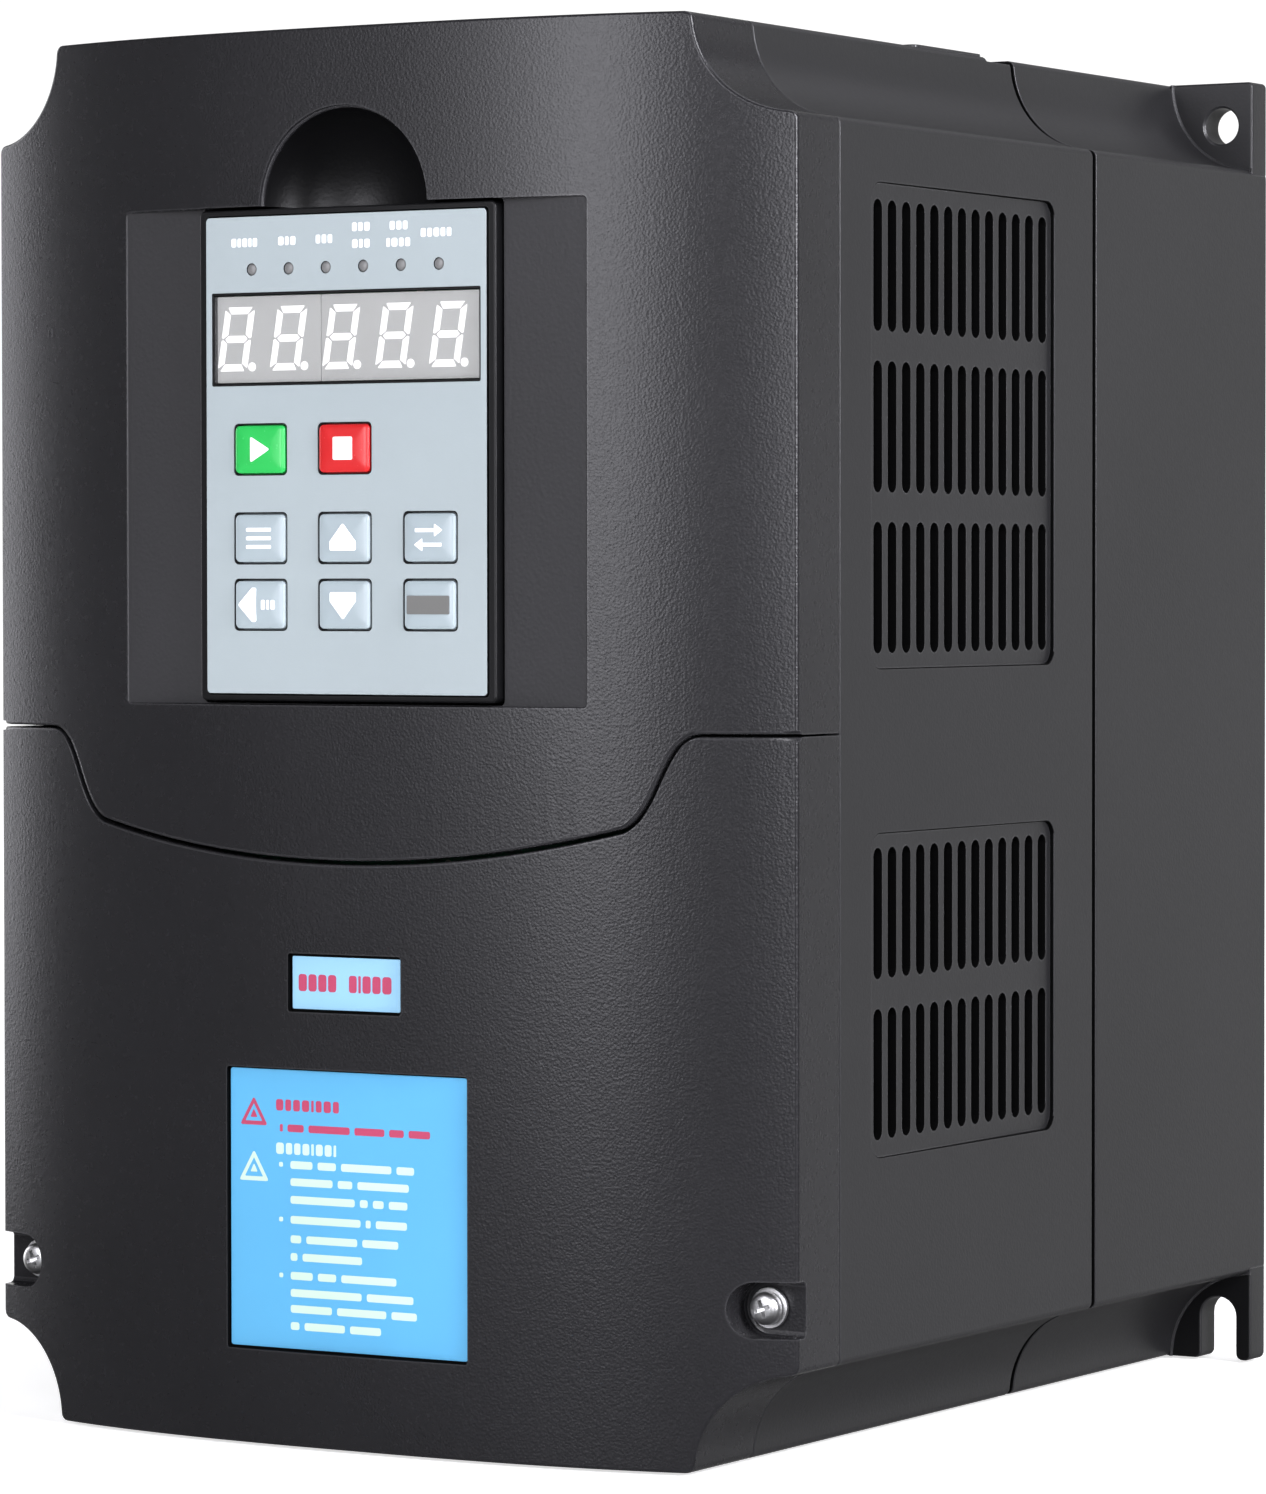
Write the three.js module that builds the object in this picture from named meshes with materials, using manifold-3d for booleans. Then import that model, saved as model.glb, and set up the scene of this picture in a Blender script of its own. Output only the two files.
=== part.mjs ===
// A wall-mounted variable frequency drive, built as it comes apart on a bench.
// Millimetres. +X is right, -Y is towards the front, +Z is up, and the origin is at the middle of the
// footprint, on the bottom face. A "depth" is a distance forward from the mounting face at the back.
import * as THREE from "three";
import { mergeVertices } from "three/addons/utils/BufferGeometryUtils.js";
import Module from "manifold-3d";

const wasm = await Module();
wasm.setup();

// Casing
const WIDTH = 166;
const HEIGHT = 247;
const DEPTH = 198;
const HALF = WIDTH / 2;
const COVE = 17; // radius of the hollow along each of the four long edges
const WALL = 2.5;
const SEAM = 0.6; // gap shown between one casing part and the next
const REAR_DEPTH = 74;
const COVER_DEPTH = 170.5;
const EDGE_DEPTH = 185; // where the crowned front meets the sides
const CROWN_POWER = 2.7; // the front is nearly flat in the middle and falls away to the sides
const CLEAR = 0.3; // gap between pieces that sit together

// Split between the upper cover and the terminal cover
const SHOULDER_Z = 125;
const BOWL_Z = 102.3;
const BOWL_RADIUS = 230;
const BOWL_HALF = 54;
const SHOULDER_HALF = 63.6;
const SPLIT_GAP = 0.5;

// Keypad and the pocket round it
const KEYPAD = { half: 30.7, low: 130.2, high: 216, back: 182.6, front: 196.9, wall: 1.4 };
const FACE = { half: 29, low: 131.5, high: 214.7, back: 195.4, front: 197.3 };
const POCKET = { half: 47.8, low: 129.5, high: 216.4, floor: 194.9 };
const WELL_GAP = 0.4;
const WELL_FLOOR = 180;
const SCOOP = { radius: 17, deep: 13 };
const WINDOW = { half: 27.3, low: 185.8, high: 200.9 };
const DIGIT_PITCH = 11;
const LAMP = { radius: 1.05, pitch: 7.76, z: 205.5 };
const KEY = { width: 10.4, height: 8.3, pitch: 17.6, travel: 0.8, rows: [174.1, 158.6, 147] };
const BOARD = 1.6; // thickness of every circuit board
const PLUG = { half: 12, low: 141, high: 149 };

// Fixings
const EAR_THICK = 6.5;
const EAR_HOLE = { x: 76.4, z: 238.7, radius: 3.5 };
const LUG_SLOT = { x: 76.1, top: 12.1, radius: 3.7 };
const COVER_SCREW = { x: 76.2, z: 28, floor: 182, shank: 1.75, head: 2.8 };
const TAB_SCREW = { x: 60, z: 100.5 };
const TAB = { near: 54, far: 66, low: 95, high: 128, thick: 2.5 }; // tongues that hold the upper cover
const BOSS = { near: 69.5, half: 6.4 }; // thick places in the terminal cover under its screws
const SCREW_RECESS = 4.8;
const WASHER = { radius: 3.5, thick: 0.7, hole: 2.05 };

// Labels
const NOTICE = { half: 24.6, low: 17, high: 65.8, back: 197.3 };
const RATING = { half: 11.2, low: 76.6, high: 85.8, back: 197 };
const LABEL_THICK = 0.2;

// Side vents
const SLOT = { width: 3.1, height: 22.6, pitch: 5.26, count: 13, first: 156.7 };
const SLOT_ROWS = [205.3, 177.6, 149.9, 93.8, 66];
const VENT_PANELS = [
  [136, 219.4],
  [51.7, 107.5],
];
const VENT_REAR = 90.2;
const VENT_FRONT = 159;
const VENT_SINK = 1;

// Cooling
const FAN = { size: 60, x: 31.5, thick: 25, top: 242.5, depth: 34.5, bore: 28, hub: 12.5 };
const FINS = { pitch: 4.4, count: 29, thick: 1.6, tip: 12, low: 24, high: 205 };
const SINK_BASE = { half: 78.5, low: 24.5, high: 222.5, back: 66.5, front: 72.5 };
const GUARD = { half: 61.5, back: 4.5, front: 64.5, pitch: 5.6, slot: 1.7 };
const INLET = { half: 57, pitch: 6, slot: 1.7, back: 8, front: 62 };

// Inside the middle housing
const DECK_DEPTH = 146;
const POWER_BOARD_DEPTH = 92;
const CONTROL_BOARD_DEPTH = 155;
const CABLE = { pitch: 40, depth: 135, hole: 11, bore: 7 };
const RECESS_Z = 2.2; // the cable entries sit this far up inside the bottom face
const CAPACITOR = { count: 4, pitch: 37, z: 190, radius: 17.5, length: 40 };
const POWER_TERMINALS = { low: 25, high: 47, count: 9, pitch: 13.6, floor: 16, front: 32 };
const CONTROL_TERMINALS = { low: 64, high: 76, count: 12, pitch: 7.5, thick: 10 };

const MATERIALS = {
  charcoal: { color: 0x2f2f31, roughness: 0.55, metalness: 0 },
  black: { color: 0x0c0c0d, roughness: 0.45, metalness: 0 },
  faceplate: { color: 0xa9bac4, roughness: 0.4, metalness: 0 },
  display: { color: 0x8f8f8c, roughness: 0.35, metalness: 0 },
  clear: { color: 0xdfe6e8, roughness: 0.1, metalness: 0, transparent: true, opacity: 0.3 },
  lamp: { color: 0x6f6f70, roughness: 0.3, metalness: 0 },
  green: { color: 0x1aa34a, roughness: 0.35, metalness: 0 },
  red: { color: 0xc81e26, roughness: 0.35, metalness: 0 },
  grey: { color: 0x9aa8b2, roughness: 0.3, metalness: 0 },
  blue: { color: 0x4fa3dc, roughness: 0.5, metalness: 0 },
  steel: { color: 0xc9ccd0, roughness: 0.3, metalness: 1 },
  aluminium: { color: 0xb4b7ba, roughness: 0.45, metalness: 1 },
  board: { color: 0x14512f, roughness: 0.5, metalness: 0 },
  rubber: { color: 0x151515, roughness: 0.9, metalness: 0 },
  terminal: { color: 0x1d6b45, roughness: 0.5, metalness: 0 },
};

// ---------------------------------------------------------------- shape tools

// The Y of a point this far forward from the mounting face.
function toY(depth) {
  return DEPTH / 2 - depth;
}

// A closed solid from a three.js geometry.
function solid(geometry) {
  const bare = geometry.clone();
  bare.deleteAttribute("normal");
  bare.deleteAttribute("uv");
  const merged = mergeVertices(bare, 1e-4);
  const triVerts = new Uint32Array(merged.index.array);
  const vertProperties = merged.attributes.position.array;
  return new wasm.Manifold(new wasm.Mesh({ numProp: 3, vertProperties, triVerts }));
}

function join(...solids) {
  return solids.reduce((sum, next) => sum.add(next));
}

// Two halves of an extent, on both sides of zero.
function both(make) {
  return join(make(-1), make(1));
}

function box(x0, x1, depth0, depth1, z0, z1) {
  const shape = new THREE.BoxGeometry(x1 - x0, depth1 - depth0, z1 - z0);
  return solid(shape.translate((x0 + x1) / 2, toY((depth0 + depth1) / 2), (z0 + z1) / 2));
}

// A box on one side of the middle, side -1 or 1, given by its distances from the middle.
function sideBox(side, near, far, depth0, depth1, z0, z1) {
  const [x0, x1] = side > 0 ? [near, far] : [-far, -near];
  return box(x0, x1, depth0, depth1, z0, z1);
}

// An outline drawn in X and Z, made solid from one depth to another.
function slab(outline, depth0, depth1, segments = 4, bevel = 0) {
  const shape = new THREE.ExtrudeGeometry(outline, {
    depth: depth1 - depth0 - 2 * bevel,
    curveSegments: segments,
    bevelEnabled: bevel > 0,
    bevelThickness: bevel,
    bevelSize: bevel,
    bevelOffset: -bevel,
    bevelSegments: 2,
  });
  return solid(shape.rotateX(Math.PI / 2).translate(0, toY(depth0 + bevel), 0));
}

// An outline drawn in X and Y, made solid from one height to another.
function prism(outline, z0, z1, segments = 4) {
  const options = { depth: z1 - z0, curveSegments: segments, bevelEnabled: false };
  return solid(new THREE.ExtrudeGeometry(outline, options).translate(0, 0, z0));
}

// A round bar along Y.
function rod(x, z, radius, depth0, depth1, sides = 16) {
  const bar = new THREE.CylinderGeometry(radius, radius, depth1 - depth0, sides);
  return solid(bar.translate(x, toY((depth0 + depth1) / 2), z));
}

// A round bar along Z.
function post(x, depth, radius, z0, z1, sides = 20) {
  const bar = new THREE.CylinderGeometry(radius, radius, z1 - z0, sides).rotateX(Math.PI / 2);
  return solid(bar.translate(x, toY(depth), (z0 + z1) / 2));
}

function rectangle(x0, x1, z0, z1) {
  return new THREE.Shape([
    new THREE.Vector2(x0, z0),
    new THREE.Vector2(x1, z0),
    new THREE.Vector2(x1, z1),
    new THREE.Vector2(x0, z1),
  ]);
}

function mesh(name, body, look) {
  const made = body.getMesh();
  const geometry = new THREE.BufferGeometry();
  geometry.setAttribute("position", new THREE.BufferAttribute(made.vertProperties, 3));
  geometry.setIndex(new THREE.BufferAttribute(made.triVerts, 1));
  geometry.computeVertexNormals();
  const piece = new THREE.Mesh(geometry, new THREE.MeshStandardMaterial(MATERIALS[look]));
  piece.name = name;
  return piece;
}

// ---------------------------------------------------------------- casing outlines

// The casing seen from the front: a rectangle whose four corners are hollow quarter rounds.
function caseOutline(inset) {
  const radius = COVE + inset;
  const trim = Math.asin(inset / radius);
  const outline = new THREE.Shape();
  const corners = [
    [WIDTH / 2, 0, 3],
    [WIDTH / 2, HEIGHT, 5],
    [-WIDTH / 2, HEIGHT, 7],
    [-WIDTH / 2, 0, 1],
  ];
  for (const [x, z, eighth] of corners) {
    const inward = (eighth * Math.PI) / 4;
    outline.absarc(x, z, radius, inward + Math.PI / 4 - trim, inward - Math.PI / 4 + trim, true);
  }
  return outline;
}

function crownDepth(x) {
  return DEPTH - (DEPTH - EDGE_DEPTH) * Math.abs((2 * x) / WIDTH) ** CROWN_POWER;
}

// The front part seen from above, from a back depth to the crowned front, less an inset all round.
function crownedPlan(back, inset) {
  const half = WIDTH / 2 - inset;
  const steps = 28;
  const points = [new THREE.Vector2(half, toY(back)), new THREE.Vector2(-half, toY(back))];
  for (let i = 0; i <= steps; i += 1) {
    const x = -half + (2 * half * i) / steps;
    points.push(new THREE.Vector2(x, toY(crownDepth(x) - inset)));
  }
  return new THREE.Shape(points.reverse());
}

// Everything above the split between the two front covers, moved up by the given amount.
function aboveSplit(lift) {
  const points = [];
  const steps = 16;
  const bowl = (x) => BOWL_Z + BOWL_RADIUS - Math.sqrt(BOWL_RADIUS ** 2 - x ** 2);
  const rise = new THREE.CubicBezierCurve(
    new THREE.Vector2(BOWL_HALF, bowl(BOWL_HALF)),
    new THREE.Vector2(BOWL_HALF + 6.5, bowl(BOWL_HALF) + 3),
    new THREE.Vector2(SHOULDER_HALF - 3, SHOULDER_Z - 0.5),
    new THREE.Vector2(SHOULDER_HALF + 3.5, SHOULDER_Z),
  );
  const side = rise.getPoints(8).slice(1);
  points.push(new THREE.Vector2(-WIDTH, SHOULDER_Z));
  for (const point of [...side].reverse()) {
    points.push(new THREE.Vector2(-point.x, point.y));
  }
  for (let i = 0; i <= steps; i += 1) {
    const x = -BOWL_HALF + (2 * BOWL_HALF * i) / steps;
    points.push(new THREE.Vector2(x, bowl(x)));
  }
  points.push(...side, new THREE.Vector2(WIDTH, SHOULDER_Z));
  points.push(new THREE.Vector2(WIDTH, HEIGHT + COVE), new THREE.Vector2(-WIDTH, HEIGHT + COVE));
  for (const point of points) {
    point.y += lift;
  }
  return new THREE.Shape(points);
}

// The front of the casing as a thin crowned shell, open at the back, and the same thing filled in.
const coverBack = COVER_DEPTH + SEAM / 2;
const coverFull = slab(caseOutline(0), coverBack, DEPTH + 1).intersect(
  prism(crownedPlan(coverBack, 0), -1, HEIGHT + 1),
);
const coverHollow = slab(caseOutline(WALL), coverBack - 1, DEPTH).intersect(
  prism(crownedPlan(coverBack - 1, WALL), 0, HEIGHT),
);
const coverShell = coverFull.subtract(coverHollow);

// ---------------------------------------------------------------- casing

// Side slots and the sloping sunk panels that frame them, cut from both sides at once.
function sideVents() {
  const cuts = [];
  for (const [low, high] of VENT_PANELS) {
    for (const side of [-1, 1]) {
      const outside = side * (HALF + 2);
      const wedge = new THREE.Shape([
        new THREE.Vector2(side * HALF, toY(VENT_FRONT)),
        new THREE.Vector2(side * (HALF - VENT_SINK), toY(VENT_REAR)),
        new THREE.Vector2(outside, toY(VENT_REAR)),
        new THREE.Vector2(outside, toY(VENT_FRONT)),
      ]);
      cuts.push(prism(wedge, low, high));
    }
  }
  for (const z of SLOT_ROWS) {
    for (let i = 0; i < SLOT.count; i += 1) {
      const depth = SLOT.first - SLOT.pitch * i;
      const [back, front] = [depth - SLOT.width / 2, depth + SLOT.width / 2];
      const [low, high] = [z - SLOT.height / 2, z + SLOT.height / 2];
      for (const side of [-1, 1]) {
        cuts.push(sideBox(side, HALF - 1.5 * WALL, HALF + 1, back, front, low, high));
      }
    }
  }
  return wasm.Manifold.union(cuts);
}

function rearHousing() {
  const front = REAR_DEPTH - SEAM / 2;
  const shell = slab(caseOutline(0), 0, front).subtract(slab(caseOutline(WALL), 3, front + 1));
  const corners = both((side) =>
    join(
      sideBox(side, HALF - COVE - 1, HALF, 0, EAR_THICK, HEIGHT - COVE - 1, HEIGHT),
      sideBox(side, HALF - COVE - 1, HALF, 0, EAR_THICK, 0, COVE + 1),
    ),
  );
  const ledges = both((side) => sideBox(side, 73, HALF - 2, 56, SINK_BASE.back - CLEAR, 34, 213));
  const holes = both((side) => {
    const { x, top, radius } = LUG_SLOT;
    const [left, right] = [side * x - radius, side * x + radius];
    return join(
      rod(side * EAR_HOLE.x, EAR_HOLE.z, EAR_HOLE.radius, -1, EAR_THICK + 1),
      rod(side * x, top - radius, radius, -1, EAR_THICK + 1),
      box(left, right, -1, EAR_THICK + 1, -1, top - radius),
    );
  });
  const opening = GUARD.half + CLEAR;
  const [near, far] = [GUARD.back - CLEAR, GUARD.front + CLEAR];
  const outlet = box(-opening, opening, near, far, FAN.top - 1, HEIGHT + 1);
  const inlets = [];
  for (let x = -INLET.half; x <= INLET.half; x += INLET.pitch) {
    inlets.push(box(x - INLET.slot, x + INLET.slot, INLET.back, INLET.front, -1, WALL + 1));
  }
  return join(shell, corners, ledges).subtract(join(holes, outlet, ...inlets));
}

function fanGuard() {
  const { half, back, front, pitch, slot } = GUARD;
  const slots = [];
  for (let i = -10; i <= 10; i += 1) {
    const x = i * pitch;
    slots.push(box(x - slot, x + slot, back + 4.5, front - 4.5, FAN.top, HEIGHT));
  }
  const plate = box(-half, half, back, front, FAN.top + CLEAR, HEIGHT - 0.4);
  return plate.subtract(join(...slots));
}

function midHousing() {
  const [back, front] = [REAR_DEPTH + SEAM / 2, COVER_DEPTH - SEAM / 2];
  const inside = slab(caseOutline(WALL), back - 1, front + 1);
  const shell = slab(caseOutline(0), back, front).subtract(inside);
  const deckOutline = slab(caseOutline(WALL - 0.5), DECK_DEPTH, DECK_DEPTH + 2);
  const deck = deckOutline.intersect(box(-WIDTH, WIDTH, 0, DEPTH, 60, HEIGHT));
  const raised = box(-65.5, 65.5, 84, 110, HEIGHT - 1, HEIGHT + 0.4);
  const entryRoof = box(-60, 60, 117, 153, WALL / 2, RECESS_Z + WALL);
  const { z: screwZ } = COVER_SCREW;
  const ribs = both((side) =>
    join(
      sideBox(side, 70, HALF - 2, 86, POWER_BOARD_DEPTH - CLEAR, 30, 216),
      sideBox(side, 71.4, HALF - 2, 140, front - CLEAR, screwZ - 5.5, screwZ + 5.5),
      rod(side * TAB_SCREW.x, TAB_SCREW.z, 4, DECK_DEPTH + 1, front),
      rod(side * 49, 70, 3, DECK_DEPTH + 1, CONTROL_BOARD_DEPTH - CLEAR),
      rod(side * 49, 197, 3, DECK_DEPTH + 1, CONTROL_BOARD_DEPTH - CLEAR),
    ),
  );
  const screwHoles = both((side) =>
    join(
      rod(side * COVER_SCREW.x, COVER_SCREW.z, 2.1, 150, front + 1, 12),
      rod(side * TAB_SCREW.x, TAB_SCREW.z, 1.8, 155, front + 1, 12),
    ),
  );
  const entryRecess = box(-58, 58, 119, 151, -1, RECESS_Z);
  const notch = both((side) => sideBox(side, 58, 70, back - 1, 84, HEIGHT - 0.8, HEIGHT + 1));
  const entries = [-1, 0, 1].map((i) => post(i * CABLE.pitch, CABLE.depth, CABLE.hole, 0, 8, 16));
  const body = join(shell, deck, raised, entryRoof, ribs);
  return body.subtract(join(screwHoles, entryRecess, notch, ...entries, sideVents()));
}

function scoopBowl(grow) {
  const ball = new THREE.SphereGeometry(1, 20, 12);
  const radius = SCOOP.radius + grow;
  ball.scale(radius, SCOOP.deep + grow, radius).translate(0, toY(DEPTH - 0.5), KEYPAD.high);
  return solid(ball);
}

function upperCover() {
  const { half, low, high, floor } = POCKET;
  const backing = box(-half - WALL, half + WALL, floor - WALL, DEPTH, low - WALL, high + WALL);
  const { half: k, low: kLow, high: kHigh } = KEYPAD;
  const wellOuter = WELL_GAP + 2.4;
  const well = box(-k - wellOuter, k + wellOuter, WELL_FLOOR, floor, kLow - wellOuter, kHigh + wellOuter);
  const wellHole = box(
    -k - WELL_GAP,
    k + WELL_GAP,
    WELL_FLOOR + 2,
    DEPTH + 1,
    kLow - WELL_GAP,
    kHigh + WELL_GAP,
  );
  const plugHole = box(-13, 13, WELL_FLOOR - 1, WELL_FLOOR + 3, PLUG.low - 1, PLUG.high + 1);
  const above = box(-WIDTH, WIDTH, 0, DEPTH + 5, KEYPAD.high - 1.5, HEIGHT);
  const bowlCut = scoopBowl(0).intersect(box(-40, 40, 0, DEPTH + 20, KEYPAD.high + 0.1, HEIGHT));
  const pocketCut = box(-half, half, floor, DEPTH + 1, low, high);
  const upper = coverShell.intersect(slab(aboveSplit(SPLIT_GAP / 2), 0, DEPTH + 5));
  const tabs = both((side) => {
    const tab = sideBox(side, TAB.near, TAB.far, coverBack, coverBack + TAB.thick, TAB.low, TAB.high);
    const bridge = sideBox(side, TAB.near, TAB.far, coverBack, 196, SHOULDER_Z + 0.6, TAB.high);
    const hole = rod(side * TAB_SCREW.x, TAB_SCREW.z, 2, coverBack - 1, coverBack + 4, 12);
    return join(tab, bridge.intersect(coverFull)).subtract(hole);
  });
  const filled = join(backing, scoopBowl(2.2).intersect(above)).intersect(coverFull);
  return join(upper, filled, well, tabs).subtract(join(pocketCut, wellHole, plugHole, bowlCut));
}

function terminalCover() {
  const region = slab(aboveSplit(-SPLIT_GAP / 2), 0, DEPTH + 5);
  const lower = coverShell.subtract(region);
  const { x, z, floor } = COVER_SCREW;
  const bosses = both((side) =>
    sideBox(side, BOSS.near, HALF, coverBack, DEPTH, z - BOSS.half, z + BOSS.half).intersect(coverFull),
  );
  const cuts = both((side) =>
    join(
      rod(side * x, z, SCREW_RECESS, floor, DEPTH + 1),
      sideBox(side, x, HALF + 5, floor, DEPTH + 1, z - SCREW_RECESS, z + SCREW_RECESS),
      rod(side * x, z, 2.3, coverBack - 1, floor + 1, 12),
    ),
  );
  const beds = [NOTICE, RATING].map(({ half, low, high, back }) =>
    box(-half - CLEAR, half + CLEAR, back - 0.1, DEPTH + 1, low - CLEAR, high + CLEAR),
  );
  return join(lower, bosses).subtract(join(cuts, ...beds));
}

// A pan-head screw along Y with a cross recess: its head's back at one depth, its tip at another.
function panScrew(x, z, headBack, tip, shank, head, headThick) {
  const front = headBack + headThick;
  const profile = [
    new THREE.Vector2(0, 0),
    new THREE.Vector2(shank, 0),
    new THREE.Vector2(shank, headBack - tip),
    new THREE.Vector2(head, headBack - tip),
    new THREE.Vector2(head, headBack - tip + headThick * 0.55),
    new THREE.Vector2(head * 0.75, front - tip - headThick * 0.12),
    new THREE.Vector2(0, front - tip),
  ];
  const turned = new THREE.LatheGeometry(profile, 12).rotateX(Math.PI);
  const bar = solid(turned.translate(x, toY(tip), z));
  const [arm, half, deep] = [head * 0.6, 0.45, headThick * 0.5];
  const cross = join(
    box(x - arm, x + arm, front - deep, front + 1, z - half, z + half),
    box(x - half, x + half, front - deep, front + 1, z - arm, z + arm),
  );
  return bar.subtract(cross);
}

function label({ half, low, high, back }) {
  return box(-half, half, back, back + LABEL_THICK, low, high);
}

function casing() {
  const pieces = [
    mesh("rear_housing", rearHousing(), "charcoal"),
    mesh("mid_housing", midHousing(), "charcoal"),
    mesh("upper_cover", upperCover(), "charcoal"),
    mesh("terminal_cover", terminalCover(), "charcoal"),
    mesh("fan_guard", fanGuard(), "charcoal"),
    mesh("notice_label", label(NOTICE), "blue"),
    mesh("rating_label", label(RATING), "blue"),
  ];
  for (const [word, side] of [["left", -1], ["right", 1]]) {
    const { x, z, floor, shank, head } = COVER_SCREW;
    const washerBack = floor + CLEAR;
    const washerFront = washerBack + WASHER.thick;
    const washer = rod(side * x, z, WASHER.radius, washerBack, washerFront, 20);
    const screw = panScrew(side * x, z, washerFront + CLEAR, 158, shank, head, 2.2);
    const opening = rod(side * x, z, WASHER.hole, floor, floor + 3, 12);
    pieces.push(mesh(`cover_washer_${word}`, washer.subtract(opening), "steel"));
    pieces.push(mesh(`cover_screw_${word}`, screw, "steel"));
    const tabFace = coverBack + TAB.thick + CLEAR;
    const tabScrew = panScrew(side * TAB_SCREW.x, TAB_SCREW.z, tabFace, 160, 1.4, 2.8, 2);
    pieces.push(mesh(`upper_cover_screw_${word}`, tabScrew, "steel"));
  }
  return pieces;
}

// ---------------------------------------------------------------- keypad

const KEYS = [
  { name: "key_run", column: -1, row: 0, look: "green" },
  { name: "key_stop", column: 0, row: 0, look: "red" },
  { name: "key_set", column: -1, row: 1, look: "grey" },
  { name: "key_up", column: 0, row: 1, look: "grey" },
  { name: "key_mode", column: 1, row: 1, look: "grey" },
  { name: "key_shift", column: -1, row: 2, look: "grey" },
  { name: "key_down", column: 0, row: 2, look: "grey" },
  { name: "key_enter", column: 1, row: 2, look: "grey" },
];

function lampX(i) {
  return (i - 2.5) * LAMP.pitch;
}

function keypadFrame() {
  const { half, low, high, back, front, wall } = KEYPAD;
  const outer = slab(rectangle(-half, half, low, high), back, front, 1, 0.4);
  const [inner, rim] = [FACE.half + CLEAR, wall - CLEAR];
  const cavity = box(-inner, inner, back + 1.6, front + 1, low + rim, high - rim);
  const opening = box(-PLUG.half - CLEAR, PLUG.half + CLEAR, back - 1, back + 3, 140.7, 149.3);
  return outer.subtract(join(cavity, opening));
}

function faceplate() {
  const gap = 0.25;
  const [back, front] = [FACE.back - 1, FACE.front + 1];
  const { half, low, high } = WINDOW;
  const cuts = [box(-half - gap, half + gap, back, front, low - gap, high + gap)];
  for (let i = 0; i < 6; i += 1) {
    cuts.push(rod(lampX(i), LAMP.z, LAMP.radius + gap, back, front, 8));
  }
  for (const { column, row } of KEYS) {
    const [x, z] = [column * KEY.pitch, KEY.rows[row]];
    const [w, h] = [KEY.width / 2 + gap, KEY.height / 2 + gap];
    cuts.push(box(x - w, x + w, back, front, z - h, z + h));
  }
  const plate = box(-FACE.half, FACE.half, FACE.back, FACE.front, FACE.low, FACE.high);
  return plate.subtract(join(...cuts));
}

// One key: a domed cap, a flange that the faceplate holds in, and a stem over its switch.
function keyBody(x, z) {
  const [w, h] = [KEY.width / 2, KEY.height / 2];
  const flange = box(x - w - 0.8, x + w + 0.8, 193.9, FACE.back - CLEAR, z - h - 0.8, z + h + 0.8);
  const cap = slab(rectangle(x - w, x + w, z - h, z + h), 194.2, DEPTH, 1, 0.35);
  return join(flange, cap, box(x - 1.5, x + 1.5, 192.8, 194, z - 1.5, z + 1.5));
}

function keypadBoard() {
  const [half, low, high] = [FACE.half - 0.6, FACE.low + 0.6, FACE.high - 0.6];
  const plate = box(-half, half, 188, 188 + BOARD, low, high);
  const switches = KEYS.map(({ column, row }) => {
    const [x, z] = [column * KEY.pitch, KEY.rows[row]];
    return box(x - 3, x + 3, 189, 192.8 - KEY.travel - 0.1, z - 3, z + 3);
  });
  return join(plate, ...switches);
}

function keypad() {
  const pieces = [
    mesh("keypad_frame", keypadFrame(), "black"),
    mesh("keypad_faceplate", faceplate(), "faceplate"),
    mesh("keypad_board", keypadBoard(), "board"),
  ];
  const plug = box(-PLUG.half, PLUG.half, 174.5, 188 - CLEAR, PLUG.low, PLUG.high);
  pieces.push(mesh("keypad_plug", plug, "black"));
  const { half, low, high } = WINDOW;
  pieces.push(mesh("display_window", box(-half, half, 196.7, 197.1, low, high), "clear"));
  const seamX = -DIGIT_PITCH / 2;
  const blockBack = 188 + BOARD + CLEAR;
  const left = box(-half, seamX - 0.06, blockBack, 196.3, low, high);
  const right = box(seamX + 0.06, half, blockBack, 196.3, low, high);
  pieces.push(mesh("display_block_left", left, "display"));
  pieces.push(mesh("display_block_right", right, "display"));
  for (let i = 0; i < 6; i += 1) {
    const lamp = rod(lampX(i), LAMP.z, LAMP.radius, blockBack, FACE.front, 8);
    pieces.push(mesh(`indicator_${i + 1}`, lamp, "lamp"));
  }
  for (const { name, column, row, look } of KEYS) {
    pieces.push(mesh(name, keyBody(column * KEY.pitch, KEY.rows[row]), look));
  }
  return pieces;
}

// ---------------------------------------------------------------- inside

function heatSink() {
  const { half, low, high, back, front } = SINK_BASE;
  const fins = [];
  for (let i = 0; i < FINS.count; i += 1) {
    const x = (i - (FINS.count - 1) / 2) * FINS.pitch;
    fins.push(box(x - FINS.thick / 2, x + FINS.thick / 2, FINS.tip, back + 1, FINS.low, FINS.high));
  }
  return join(box(-half, half, back, front, low, high), ...fins);
}

function fanFrame(x) {
  const [half, low] = [FAN.size / 2, FAN.top - FAN.thick];
  const [near, far] = [FAN.depth - half, FAN.depth + half];
  const block = box(x - half, x + half, near, far, low, FAN.top);
  const bore = post(x, FAN.depth, FAN.bore, low - 1, FAN.top + 1, 24);
  const struts = join(
    box(x - half + 1, x + half - 1, FAN.depth - 1.6, FAN.depth + 1.6, low, low + 3),
    box(x - 1.6, x + 1.6, near + 1, far - 1, low, low + 3),
    post(x, FAN.depth, FAN.hub, low, low + 3),
  );
  const shaftHole = post(x, FAN.depth, 1.9, low - 1, low + 4, 10);
  return join(block.subtract(bore), struts).subtract(shaftHole);
}

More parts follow.
